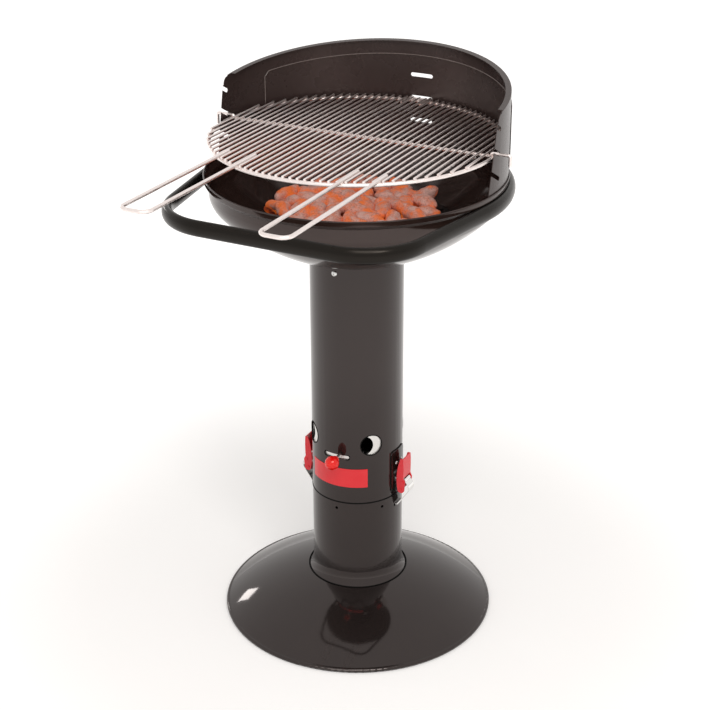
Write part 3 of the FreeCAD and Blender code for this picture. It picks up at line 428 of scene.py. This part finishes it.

# Painted shade: thin black rings round the slot and each vent, for the shade of their cut edges.
painted_shade_rings = [formed("painted_shade_round_slot", tree, {
    "Tube": tube_radius, "Width": slot_width + 2 * edge_gap, "Height": slot_height + 2 * edge_gap,
    "Middle": 0.0, "Level": slot_level, "Shade Line": painted_shade_width, "Finish": painted_shadow_black})]
for angle in vent_angles:
    painted_shade_rings.append(formed("run_round_vent_%d" % angle, tree, {
        "Tube": tube_radius, "Width": vent_width + 2 * edge_gap, "Height": vent_width + 2 * edge_gap,
        "Middle": math.radians(angle), "Level": vent_level, "Shade Line": painted_shade_width, "Finish": painted_shadow_black}))
painted_shade_round_vents = settled(merged("painted_shade_round_vents", painted_shade_rings), painted_shadow_black, "stand")


# Air damper. A turned stem through the slot of the column carries a ball knob, moulded in red
# phenolic: hard, deep red and polished.
dressed("damper_stem", zinc)

red_knob, tree, output = blank_material("phenolic_moulded_red")
cloud, dull = surface_noise(tree, spacing=0.006, low=0.06, high=0.12)
tone = add(tree, "ShaderNodeMixRGB", None,
           {"Fac": cloud, "Color1": linear("#e20a08"), "Color2": linear("#f21611")})
ball = add(tree, "ShaderNodeBsdfPrincipled", None,
           {"Base Color": tone.outputs[0], "Roughness": dull, "IOR": 1.58,
            "Specular Tint": linear("#ffd9d0")})
tree.links.new(ball.outputs[0], output.inputs["Surface"])
dressed("damper_knob", red_knob)


# Plate on the column. A plain red strip of lacquered aluminium sheet, bent to the tube and glued
# on under the knob.
plate_radius = 0.0752
plate_middle = math.radians(-0.75)
plate_half_angle = math.radians(40.75)
plate_low = 0.2570
plate_high = 0.2905
plate_sheet = 0.0004
plate_corner = 0.0010
plate_columns = 64

# Stoved lacquer on smooth sheet: an even, clear red with a soft shine.
red_lacquer, tree, output = blank_material("lacquered_sheet_red")
cloud, dull = surface_noise(tree, spacing=0.020, low=0.16, high=0.24)
tone = add(tree, "ShaderNodeMixRGB", None,
           {"Fac": cloud, "Color1": linear("#dc1c26"), "Color2": linear("#e6262f")})
lacquer = add(tree, "ShaderNodeBsdfPrincipled", None,
              {"Base Color": tone.outputs[0], "Roughness": dull, "IOR": 1.5})
tree.links.new(lacquer.outputs[0], output.inputs["Surface"])


def bent_plate(name, radius, middle, half_angle, low, high, sheet, corner):
    """A thin plate bent round the column, with small round corners."""
    shape = bmesh.new()
    levels = [low, low + 0.3 * corner, low + corner, (low + high) / 2,
              high - corner, high - 0.3 * corner, high]
    inset = [corner, 0.3 * corner, 0, 0, 0, 0.3 * corner, corner]
    rows = []
    for level, gap in zip(levels, inset):
        reach = half_angle - gap / radius
        row = []
        for step in range(plate_columns + 1):
            angle = middle + reach * (2 * step / plate_columns - 1)
            row.append(shape.verts.new((radius * math.sin(angle), -radius * math.cos(angle), level)))
        rows.append(row)
    for below, above in zip(rows[:-1], rows[1:]):
        for step in range(plate_columns):
            shape.faces.new((below[step], below[step + 1], above[step + 1], above[step]))
    mesh = bpy.data.meshes.new(name)
    shape.to_mesh(mesh)
    shape.free()
    piece = bpy.data.objects.new(name, mesh)
    scene.collection.objects.link(piece)
    wall = piece.modifiers.new("sheet", "SOLIDIFY")
    wall.thickness = sheet
    wall.offset = 1.0
    return piece


column_plate = bent_plate("column_plate", plate_radius, plate_middle, plate_half_angle,
                          plate_low, plate_high, plate_sheet, plate_corner)
settled(column_plate, red_lacquer, "stand")


# Latches, one on each side. A black plate with two ears is riveted to the column and carries a
# pressed red lever, and a chromed draw hook that reaches into a slot of the ash pot.

# Stoved black paint on pressed steel: smooth, very dark, with a fairly sharp shine.
black_steel, tree, output = blank_material("steel_painted_black")
cloud, dull = surface_noise(tree, spacing=0.003, low=0.12, high=0.22)
coat = add(tree, "ShaderNodeBsdfPrincipled", None,
           {"Base Color": linear("#161311"), "Roughness": dull, "IOR": 1.5})
tree.links.new(coat.outputs[0], output.inputs["Surface"])

# Powder baked on pressed steel: a full red under a fine, slightly uneven skin.
red_paint, tree, output = blank_material("powder_coat_red")
cloud, dull = surface_noise(tree, spacing=0.0012, low=0.16, high=0.26)
tone = add(tree, "ShaderNodeMixRGB", None,
           {"Fac": cloud, "Color1": linear("#de1c28"), "Color2": linear("#e82a36")})
relief = add(tree, "ShaderNodeBump", None, {"Strength": 0.25, "Distance": 0.00002, "Height": cloud})
coat = add(tree, "ShaderNodeBsdfPrincipled", None,
           {"Base Color": tone.outputs[0], "Roughness": dull, "IOR": 1.5, "Normal": relief.outputs[0]})
tree.links.new(coat.outputs[0], output.inputs["Surface"])

# Chrome plated on bent strip: bright, and close to a mirror.
chrome, tree, output = blank_material("chrome_plated_strip")
cloud, dull = surface_noise(tree, spacing=0.003, low=0.05, high=0.13)
coat = add(tree, "ShaderNodeBsdfPrincipled", None,
           {"Base Color": linear("#e6e5e3"), "Metallic": 1.0, "Roughness": dull})
tree.links.new(coat.outputs[0], output.inputs["Surface"])

dressed("bracket_rivets", zinc)
for side in ("right", "left"):
    dressed("latch_bracket_" + side, black_steel)
    dressed("latch_lever_" + side, red_paint)
    dressed("latch_hook_" + side, chrome)
    dressed("lever_pin_" + side, red_paint)
    dressed("hook_pin_" + side, red_paint)


# Bowl. A deep dish drawn from steel sheet, with a shoulder and a rolled rim, enamelled black. Its
# floor is bolted to a flanged ring that stands in the top of the column.

# The same enamel, a little duller, and a little browner and paler as painted warm light from the glowing
# coals.
bowl_enamel = enamel("porcelain_enamel_black_painted_coal_glow", "#261a18", "#31241f", low=0.07, high=0.13,
                     wave_depth=0.00008, skin_depth=0.000006, glassiness=1.5)
dressed("bowl", bowl_enamel)
dressed("bowl_neck", black_steel)
dressed("neck_nuts", zinc)
dressed("floor_bolts", zinc)
dressed("floor_nuts", zinc)


# Screws that show. Domed, zinc plated steel. Three hold the neck in the column, and a small square
# recess stands for their cross. Four with a hexagon socket, their heads inside the bowl, hold
# windscreen, bowl and handle together.
neck_level = 0.6291
rim_level = 0.7528
outward = math.pi / 2

tree, given, result = form_tree("screws_on_a_circle", [
    ("Count", "Int", 3), ("Middle", "Float", 0.0), ("Step", "Float", 2.0), ("Circle", "Float", 0.075),
    ("Level", "Float", 0.6), ("Facing", "Float", 1.57), ("Head", "Float", 0.005),
    ("Dome", "Float", 0.003), ("Shank", "Float", 0.0025), ("Length", "Float", 0.010),
    ("Socket Sides", "Int", 4), ("Socket", "Float", 0.002), ("Finish", "Material", None)])
dome = add(tree, "GeometryNodeMeshUVSphere", None,
           {"Segments": 32, "Rings": 16, "Radius": given.outputs["Head"]})
squash = add(tree, "ShaderNodeMath", {"operation": "DIVIDE"},
             {0: given.outputs["Dome"], 1: given.outputs["Head"]})
flat = add(tree, "ShaderNodeCombineXYZ", None, {"X": 1.0, "Y": 1.0, "Z": squash.outputs[0]})
dome = add(tree, "GeometryNodeTransform", None,
           {"Geometry": dome.outputs["Mesh"], "Scale": flat.outputs[0]})
wide = add(tree, "ShaderNodeMath", {"operation": "MULTIPLY"}, {0: given.outputs["Head"], 1: 3.0})
block = add(tree, "ShaderNodeCombineXYZ", None,
            {"X": wide.outputs[0], "Y": wide.outputs[0], "Z": wide.outputs[0]})
under = add(tree, "GeometryNodeMeshCube", None, {"Size": block.outputs[0]})
half_block = add(tree, "ShaderNodeMath", {"operation": "MULTIPLY"}, {0: wide.outputs[0], 1: -0.5})
below = add(tree, "ShaderNodeCombineXYZ", None, {"Z": half_block.outputs[0]})
under = add(tree, "GeometryNodeTransform", None,
            {"Geometry": under.outputs["Mesh"], "Translation": below.outputs[0]})
socket = add(tree, "GeometryNodeMeshCylinder", None,
             {"Vertices": given.outputs["Socket Sides"], "Radius": given.outputs["Socket"],
              "Depth": given.outputs["Dome"]})
high = add(tree, "ShaderNodeCombineXYZ", None, {"Z": given.outputs["Dome"]})
socket = add(tree, "GeometryNodeTransform", None,
             {"Geometry": socket.outputs["Mesh"], "Translation": high.outputs[0]})
head = add(tree, "GeometryNodeMeshBoolean", {"operation": "DIFFERENCE"},
           {"Mesh 1": dome.outputs[0], "Mesh 2": under.outputs[0]})
tree.links.new(socket.outputs[0], head.inputs["Mesh 2"])
shank = add(tree, "GeometryNodeMeshCylinder", None,
            {"Vertices": 24, "Radius": given.outputs["Shank"], "Depth": given.outputs["Length"]})
half_shank = add(tree, "ShaderNodeMath", {"operation": "MULTIPLY"},
                 {0: given.outputs["Length"], 1: -0.5})
down = add(tree, "ShaderNodeCombineXYZ", None, {"Z": half_shank.outputs[0]})
shank = add(tree, "GeometryNodeTransform", None,
            {"Geometry": shank.outputs["Mesh"], "Translation": down.outputs[0]})
screw = add(tree, "GeometryNodeJoinGeometry")
tree.links.new(head.outputs[0], screw.inputs[0])
tree.links.new(shank.outputs[0], screw.inputs[0])
row = add(tree, "GeometryNodeMeshLine", None, {"Count": given.outputs["Count"], "Offset": (0.001, 0, 0)})
last = add(tree, "ShaderNodeMath", {"operation": "SUBTRACT"}, {0: given.outputs["Count"], 1: 1.0})
half_row = add(tree, "ShaderNodeMath", {"operation": "MULTIPLY"}, {0: last.outputs[0], 1: 0.5})
order = add(tree, "ShaderNodeMath", {"operation": "SUBTRACT"},
            {0: add(tree, "GeometryNodeInputIndex").outputs[0], 1: half_row.outputs[0]})
shift = add(tree, "ShaderNodeMath", {"operation": "MULTIPLY"},
            {0: order.outputs[0], 1: given.outputs["Step"]})
angle = add(tree, "ShaderNodeMath", {"operation": "ADD"},
            {0: given.outputs["Middle"], 1: shift.outputs[0]})
spot = on_circle(tree, angle.outputs[0], given.outputs["Circle"], given.outputs["Level"])
row = add(tree, "GeometryNodeSetPosition", None, {"Geometry": row.outputs[0], "Position": spot})
heading = add(tree, "ShaderNodeMath", {"operation": "SUBTRACT"}, {0: angle.outputs[0], 1: outward})
turn = add(tree, "ShaderNodeCombineXYZ", None,
           {"Y": given.outputs["Facing"], "Z": heading.outputs[0]})
screws = add(tree, "GeometryNodeInstanceOnPoints", None,
             {"Points": row.outputs[0], "Instance": screw.outputs[0], "Rotation": turn.outputs[0]})
ended(tree, given, result, screws.outputs[0])

neck_screws = settled(formed("cross_head_screws", tree, {
    "Count": 3, "Middle": 0.0, "Step": math.radians(120), "Circle": 0.0751, "Level": neck_level,
    "Facing": outward, "Head": 0.0048, "Dome": 0.0028, "Shank": 0.0025, "Length": 0.0103,
    "Socket Sides": 4, "Socket": 0.0019, "Finish": zinc}), zinc, "stand", 28)
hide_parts("neck_screws")

pairs = []
for step in (160, 60):
    pairs.append(formed("socket_screws_%d" % step, tree, {
        "Count": 2, "Middle": math.pi, "Step": math.radians(step), "Circle": 0.2254, "Level": rim_level,
        "Facing": -outward, "Head": 0.0053, "Dome": 0.0033, "Shank": 0.0030, "Length": 0.0139,
        "Socket Sides": 6, "Socket": 0.0023, "Finish": zinc}))
rim_screws = settled(merged("socket_head_screws", pairs), zinc, "stand", 28)
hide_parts("rim_screws")


# Ring handle. One upright oval steel tube bent round the bowl, with a straight bar in front to hold
# and to push by, in a satin black heat paint with a fine grain.
handle_coat, tree, output = blank_material("heat_paint_satin_black")
cloud, dull = surface_noise(tree, spacing=0.0012, low=0.20, high=0.28)
relief = add(tree, "ShaderNodeBump", None, {"Strength": 0.3, "Distance": 0.00002, "Height": cloud})
coat = add(tree, "ShaderNodeBsdfPrincipled", None,
           {"Base Color": linear("#090807"), "Roughness": dull, "IOR": 1.31,
            "Specular Tint": linear("#fff0e2"), "Normal": relief.outputs[0]})
tree.links.new(coat.outputs[0], output.inputs["Surface"])
dressed("ring_handle", handle_coat)


# Windscreen. Half round, of thin enamelled sheet with a pressed panel and a folded lip. Notches in
# its front edges and slots at its back hold the grid at three heights. Its enamel is less glassy,
# and a pale line along the crease round the panel is a painted highlight.
crease_radius = 0.2321
crease_angle = 113.3
crease_corner = 2.0
crease_round = 0.007
crease_foot = 0.786
crease_drop = 0.0245
crease_bead = 0.0007
crease_steps = 96
screen_top = 0.8910
screen_lean = 0.14

satin_enamel = enamel("porcelain_enamel_black_satin", "#281e1c", "#352a28", low=0.24, high=0.31,
                      wave_depth=0.00006, skin_depth=0.000004, glassiness=1.42)
dressed("windscreen", satin_enamel)

# Painted highlight along the crease: a thin, pale grey-brown line.
painted_crease_highlight, tree, output = blank_material("porcelain_enamel_painted_crease_highlight")
cloud, dull = surface_noise(tree, spacing=0.012, low=0.16, high=0.30)
tone = add(tree, "ShaderNodeMixRGB", None,
           {"Fac": cloud, "Color1": linear("#5c504c"), "Color2": linear("#8a7e79")})
coat = add(tree, "ShaderNodeBsdfPrincipled", None,
           {"Base Color": tone.outputs[0], "Roughness": dull, "IOR": 1.5})
tree.links.new(coat.outputs[0], output.inputs["Surface"])


def crease_point(turn, drop):
    """A point inside the windscreen, at an angle from the front and a drop under its leaning rim."""
    x = crease_radius * math.sin(math.radians(turn))
    y = -crease_radius * math.cos(math.radians(turn))
    return (x, y, screen_top + screen_lean * y - drop)


first_turn = crease_angle + crease_corner
back = []
for step in range(crease_steps + 1):
    turn = first_turn + (360 - 2 * first_turn) * step / crease_steps
    back.append(crease_point(turn, crease_drop))
ends = [crease_point(side * crease_angle, crease_drop + crease_round) for side in (1, -1)]
feet = [(end[0], end[1], crease_foot) for end in ends]
path = [feet[0], ends[0]] + back + [ends[1], feet[1]]
line = bpy.data.curves.new("crease", "CURVE")
line.dimensions = "3D"
line.bevel_depth = crease_bead
line.bevel_resolution = 2
line.use_fill_caps = True
spline = line.splines.new("POLY")
spline.points.add(len(path) - 1)
for point, spot in zip(spline.points, path):
    point.co = (*spot, 1.0)
crease_line = bpy.data.objects.new("crease_line", line)
scene.collection.objects.link(crease_line)
bpy.context.view_layer.update()
mesh = bpy.data.meshes.new_from_object(crease_line.evaluated_get(bpy.context.evaluated_depsgraph_get()))
bpy.data.objects.remove(crease_line)
panel_crease = bpy.data.objects.new("panel_crease", mesh)
scene.collection.objects.link(panel_crease)
settled(panel_crease, painted_crease_highlight, "stand")


# Cooking grid. Thirty-nine round wires welded across a heavier ring, bright chromed, with a wire
# under them that rests in the notches, two long wire handles and a hooked tongue at the back.
bar_count = 39
bar_pitch = 0.01128
bar_radius = 0.0020
bar_reach = 0.2263
bar_level = 0.8296

# Chrome on drawn wire, blurred by heat and use: pale and bright, but no mirror.
grid_chrome, tree, output = blank_material("wire_bright_chromed")
cloud, dull = surface_noise(tree, spacing=0.004, low=0.30, high=0.42)
tone = add(tree, "ShaderNodeMixRGB", None,
           {"Fac": cloud, "Color1": linear("#e4d8d4"), "Color2": linear("#f6eeeb")})
coat = add(tree, "ShaderNodeBsdfPrincipled", None,
           {"Base Color": tone.outputs[0], "Metallic": 1.0, "Roughness": dull})
tree.links.new(coat.outputs[0], output.inputs["Surface"])


def level_row(tree, given):
    """A row of points across the grid, and half the ring's chord at each of them."""
    last = add(tree, "ShaderNodeMath", {"operation": "SUBTRACT"}, {0: given.outputs["Count"], 1: 1.0})
    width = add(tree, "ShaderNodeMath", {"operation": "MULTIPLY"},
                {0: last.outputs[0], 1: given.outputs["Pitch"]})
    first = add(tree, "ShaderNodeMath", {"operation": "MULTIPLY"}, {0: width.outputs[0], 1: -0.5})
    start = add(tree, "ShaderNodeCombineXYZ", None,
                {"X": first.outputs[0], "Z": given.outputs["Level"]})
    offset = add(tree, "ShaderNodeCombineXYZ", None, {"X": given.outputs["Pitch"]})
    row = add(tree, "GeometryNodeMeshLine", None,
              {"Count": given.outputs["Count"], "Start Location": start.outputs[0],
               "Offset": offset.outputs[0]})
    where = add(tree, "ShaderNodeSeparateXYZ", None,
                {0: add(tree, "GeometryNodeInputPosition").outputs[0]})
    square = add(tree, "ShaderNodeMath", {"operation": "MULTIPLY"},
                 {0: where.outputs["X"], 1: where.outputs["X"]})
    whole = add(tree, "ShaderNodeMath", {"operation": "MULTIPLY"},
                {0: given.outputs["Reach"], 1: given.outputs["Reach"]})
    rest = add(tree, "ShaderNodeMath", {"operation": "SUBTRACT"},
               {0: whole.outputs[0], 1: square.outputs[0]})
    chord = add(tree, "ShaderNodeMath", {"operation": "SQRT"}, {0: rest.outputs[0]})
    return row.outputs[0], chord.outputs[0]


tree, given, result = form_tree("wires_across_a_ring", [
    ("Count", "Int", 39), ("Pitch", "Float", 0.011), ("Wire", "Float", 0.002),
    ("Reach", "Float", 0.226), ("Level", "Float", 0.83), ("Finish", "Material", None)])
row, chord = level_row(tree, given)
scale = add(tree, "ShaderNodeCombineXYZ", None, {"X": 1.0, "Y": chord, "Z": 1.0})
wire = add(tree, "GeometryNodeCurvePrimitiveLine", None, {"Start": (0, -1, 0), "End": (0, 1, 0)})
wires = add(tree, "GeometryNodeInstanceOnPoints", None,
            {"Points": row, "Instance": wire.outputs[0], "Scale": scale.outputs[0]})
wires = add(tree, "GeometryNodeRealizeInstances", None, {0: wires.outputs[0]})
section = add(tree, "GeometryNodeCurvePrimitiveCircle", None,
              {"Resolution": 20, "Radius": given.outputs["Wire"]})
wires = add(tree, "GeometryNodeCurveToMesh", None,
            {"Curve": wires.outputs[0], "Profile Curve": section.outputs[0], "Fill Caps": True})
ended(tree, given, result, wires.outputs[0])

grid_wires = settled(formed("grid_wires", tree, {
    "Count": bar_count, "Pitch": bar_pitch, "Wire": bar_radius, "Reach": bar_reach,
    "Level": bar_level, "Finish": grid_chrome}), grid_chrome, "grid")
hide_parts("grid_bars")

for node in ("grid_ring", "grid_cross_wire", "grid_loop_right", "grid_loop_left", "grid_tongue"):
    dressed(node, grid_chrome)


# Weld nuggets of the grid. Where two wires cross they are spot welded, and a little metal is
# squeezed out between them: under each bar at both ends and in the middle, and under the handles.
ring_reach = 0.2243
cross_place = 0.0055
leg_places = (0.0846, 0.12972)
weld_level = bar_level - bar_radius

tree, given, result = form_tree("nuggets_where_wires_cross", [
    ("Count", "Int", 39), ("Pitch", "Float", 0.011), ("Reach", "Float", 0.224), ("Side", "Float", 1.0),
    ("Shift", "Float", 0.0), ("Level", "Float", 0.83), ("Size", "Float", 0.002),
    ("Finish", "Material", None)])
row, chord = level_row(tree, given)
along = add(tree, "ShaderNodeMath", {"operation": "MULTIPLY"}, {0: chord, 1: given.outputs["Side"]})
aside = add(tree, "ShaderNodeMath", {"operation": "ADD"},
            {0: along.outputs[0], 1: given.outputs["Shift"]})
moved = add(tree, "ShaderNodeCombineXYZ", None, {"Y": aside.outputs[0]})
spots = add(tree, "GeometryNodeSetPosition", None, {"Geometry": row, "Offset": moved.outputs[0]})
drop = add(tree, "GeometryNodeMeshUVSphere", None,
           {"Segments": 8, "Rings": 5, "Radius": given.outputs["Size"]})
drops = add(tree, "GeometryNodeInstanceOnPoints", None,
            {"Points": spots.outputs[0], "Instance": drop.outputs["Mesh"], "Scale": (1.0, 1.15, 0.6)})
ended(tree, given, result, drops.outputs[0])

welds = []
for name, count, pitch, side, shift, size in (
        ("front", bar_count, bar_pitch, -1.0, 0.0, 0.0023),
        ("back", bar_count, bar_pitch, 1.0, 0.0, 0.0023),
        ("middle", bar_count, bar_pitch, 0.0, cross_place, 0.0025),
        ("inner_legs", 2, 2 * leg_places[0], -1.0, 0.0, 0.0034),
        ("outer_legs", 2, 2 * leg_places[1], -1.0, 0.0, 0.0034)):
    welds.append(formed("welds_" + name, tree, {
        "Count": count, "Pitch": pitch, "Reach": ring_reach, "Side": side, "Shift": shift,
        "Level": weld_level, "Size": size, "Finish": grid_chrome}))
weld_nuggets = settled(merged("weld_nuggets", welds), grid_chrome, "grid")


# Fire. A loose slotted plate lies at the bottom of the bowl, and on it lies a bed of charcoal. The
# lumps glow orange from inside under a thin skin of pinkish ash, with painted shade low between them.
coal_middle = (-0.0035, -0.0018)
coal_radius = 0.1330
coal_level = 0.6990
coal_rise = 0.0165
coal_dark_level = 0.7045
coal_light_level = 0.7185
coal_lump = 0.0150
ember_patch = 0.026
ember_glow = 0.40
full_turn = 6.283

dressed("fire_grate", gloss_enamel)

# Glowing charcoal: dull and crumbly. Ash covers it in patches as wide as a lump, and its specks
# are finer in fact, and are drawn at 2.2 mm so that they show.
ember, tree, output = blank_material("charcoal_glowing_under_ash")
place = add(tree, "ShaderNodeTexCoord").outputs["Object"]
cloud, dull = surface_noise(tree, spacing=0.0022, low=0.80, high=0.92)
patch = add(tree, "ShaderNodeTexNoise", None,
            {"Vector": place, "Scale": 1 / ember_patch, "Detail": 3.0, "Roughness": 0.62})
height = add(tree, "ShaderNodeSeparateXYZ", None, {0: place})
# Painted shade: lower down the bed the lumps turn dark brown, for the shade between them.
painted_gap_shade = add(tree, "ShaderNodeMapRange", {"interpolation_type": "SMOOTHSTEP"},
               {"Value": height.outputs["Z"], "From Min": coal_dark_level, "From Max": coal_light_level})
heat = add(tree, "ShaderNodeValToRGB", None, {"Fac": patch.outputs["Fac"]})
heat.color_ramp.elements[0].position = 0.33
heat.color_ramp.elements[0].color = linear("#f07828")
heat.color_ramp.elements[1].position = 0.58
heat.color_ramp.elements[1].color = linear("#2a0d06")
for step, code in ((0.41, "#c8501c"), (0.49, "#5a1c0e")):
    heat.color_ramp.elements.new(step).color = linear(code)
ash = add(tree, "ShaderNodeValToRGB", None, {"Fac": patch.outputs["Fac"]})
ash.color_ramp.elements[0].position = 0.35
ash.color_ramp.elements[0].color = linear("#bd6038")
ash.color_ramp.elements[1].position = 0.60
ash.color_ramp.elements[1].color = linear("#e6b8ac")
for step, code in ((0.42, "#d8825c"), (0.50, "#e49c86")):
    ash.color_ramp.elements.new(step).color = linear(code)
speck = add(tree, "ShaderNodeMapRange", None,
            {"Value": cloud, "From Min": 0.36, "From Max": 0.52, "To Min": 0.62, "To Max": 1.0})
ash_specks_and_painted_shade = add(tree, "ShaderNodeMath", {"operation": "MULTIPLY"},
             {0: speck.outputs[0], 1: painted_gap_shade.outputs[0]})
tone = add(tree, "ShaderNodeMixRGB", None,
           {"Fac": ash_specks_and_painted_shade.outputs[0], "Color1": linear("#33140b"), "Color2": ash.outputs[0]})
relief = add(tree, "ShaderNodeBump", None, {"Strength": 0.8, "Distance": 0.0008, "Height": cloud})
coal = add(tree, "ShaderNodeBsdfPrincipled", None,
           {"Base Color": tone.outputs[0], "Roughness": dull, "Normal": relief.outputs[0],
            "Emission Color": heat.outputs[0], "Emission Strength": ember_glow})
tree.links.new(coal.outputs[0], output.inputs["Surface"])

tree, given, result = form_tree("lumps_in_a_round_bed", [
    ("Radius", "Float", 0.13), ("Spacing", "Float", 0.02), ("Level", "Float", 0.7), ("Seed", "Int", 1),
    ("Lump", "Float", 0.015), ("Facets", "Int", 3), ("Finish", "Material", None)])
disc = add(tree, "GeometryNodeMeshCircle", {"fill_type": "TRIANGLE_FAN"},
           {"Vertices": 64, "Radius": given.outputs["Radius"]})
spots = add(tree, "GeometryNodeDistributePointsOnFaces", {"distribute_method": "POISSON"},
            {"Mesh": disc.outputs[0], "Distance Min": given.outputs["Spacing"], "Density Max": 100000.0,
             "Seed": given.outputs["Seed"]})
heave = add(tree, "FunctionNodeRandomValue", {"data_type": "FLOAT"},
            {"Min": -0.0030, "Max": 0.0035, "Seed": 11})
height = add(tree, "ShaderNodeMath", {"operation": "ADD"},
             {0: given.outputs["Level"], 1: heave.outputs["Value"]})
lift = add(tree, "ShaderNodeCombineXYZ", None,
           {"X": coal_middle[0], "Y": coal_middle[1], "Z": height.outputs[0]})
lifted = add(tree, "GeometryNodeSetPosition", None,
             {"Geometry": spots.outputs["Points"], "Offset": lift.outputs[0]})
tilt = add(tree, "FunctionNodeRandomValue", {"data_type": "FLOAT_VECTOR"},
           {"Min": (-0.30, -0.30, 0.0), "Max": (0.30, 0.30, full_turn), "Seed": 5})
girth = add(tree, "FunctionNodeRandomValue", {"data_type": "FLOAT_VECTOR"},
            {"Min": (1.35, 0.74, 0.58), "Max": (2.15, 0.96, 0.76), "Seed": 9})
size = add(tree, "ShaderNodeVectorMath", {"operation": "SCALE"},
           {0: girth.outputs["Value"], "Scale": given.outputs["Lump"]})
lump = add(tree, "GeometryNodeMeshIcoSphere", None,
           {"Radius": 1.0, "Subdivisions": given.outputs["Facets"]})
lumps = add(tree, "GeometryNodeInstanceOnPoints", None,
            {"Points": lifted.outputs[0], "Instance": lump.outputs["Mesh"],
             "Rotation": tilt.outputs["Value"], "Scale": size.outputs[0]})
lumps = add(tree, "GeometryNodeRealizeInstances", None, {0: lumps.outputs[0]})
for spacing, noise_seed, depth in ((0.030, 0.0, 0.016), (0.009, 3.0, 0.0045)):
    rough = add(tree, "ShaderNodeTexNoise", {"noise_dimensions": "4D"},
                {"W": noise_seed, "Scale": 1 / spacing, "Detail": 2.0, "Roughness": 0.5})
    swing = add(tree, "ShaderNodeMath", {"operation": "SUBTRACT"}, {0: rough.outputs["Fac"], 1: 0.5})
    bulge = add(tree, "ShaderNodeMath", {"operation": "MULTIPLY"}, {0: swing.outputs[0], 1: depth})
    along = add(tree, "ShaderNodeVectorMath", {"operation": "SCALE"},
                {0: add(tree, "GeometryNodeInputNormal").outputs[0], "Scale": bulge.outputs[0]})
    lumps = add(tree, "GeometryNodeSetPosition", None,
                {"Geometry": lumps.outputs[0], "Offset": along.outputs[0]})
ended(tree, given, result, lumps.outputs[0])

beds = []
for name, radius, spacing, level, seed, facets in (
        ("under", coal_radius - 0.009, 0.027, coal_level, 3, 3),
        ("over", coal_radius - 0.014, 0.029, coal_level + coal_rise, 8, 4)):
    beds.append(formed("lumps_" + name, tree, {
        "Radius": radius, "Spacing": spacing, "Level": level, "Seed": seed, "Lump": coal_lump,
        "Facets": facets, "Finish": ember}))
glowing_coals = settled(merged("glowing_coals", beds), ember, "fire", 60)
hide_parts("charcoal")


low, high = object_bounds()
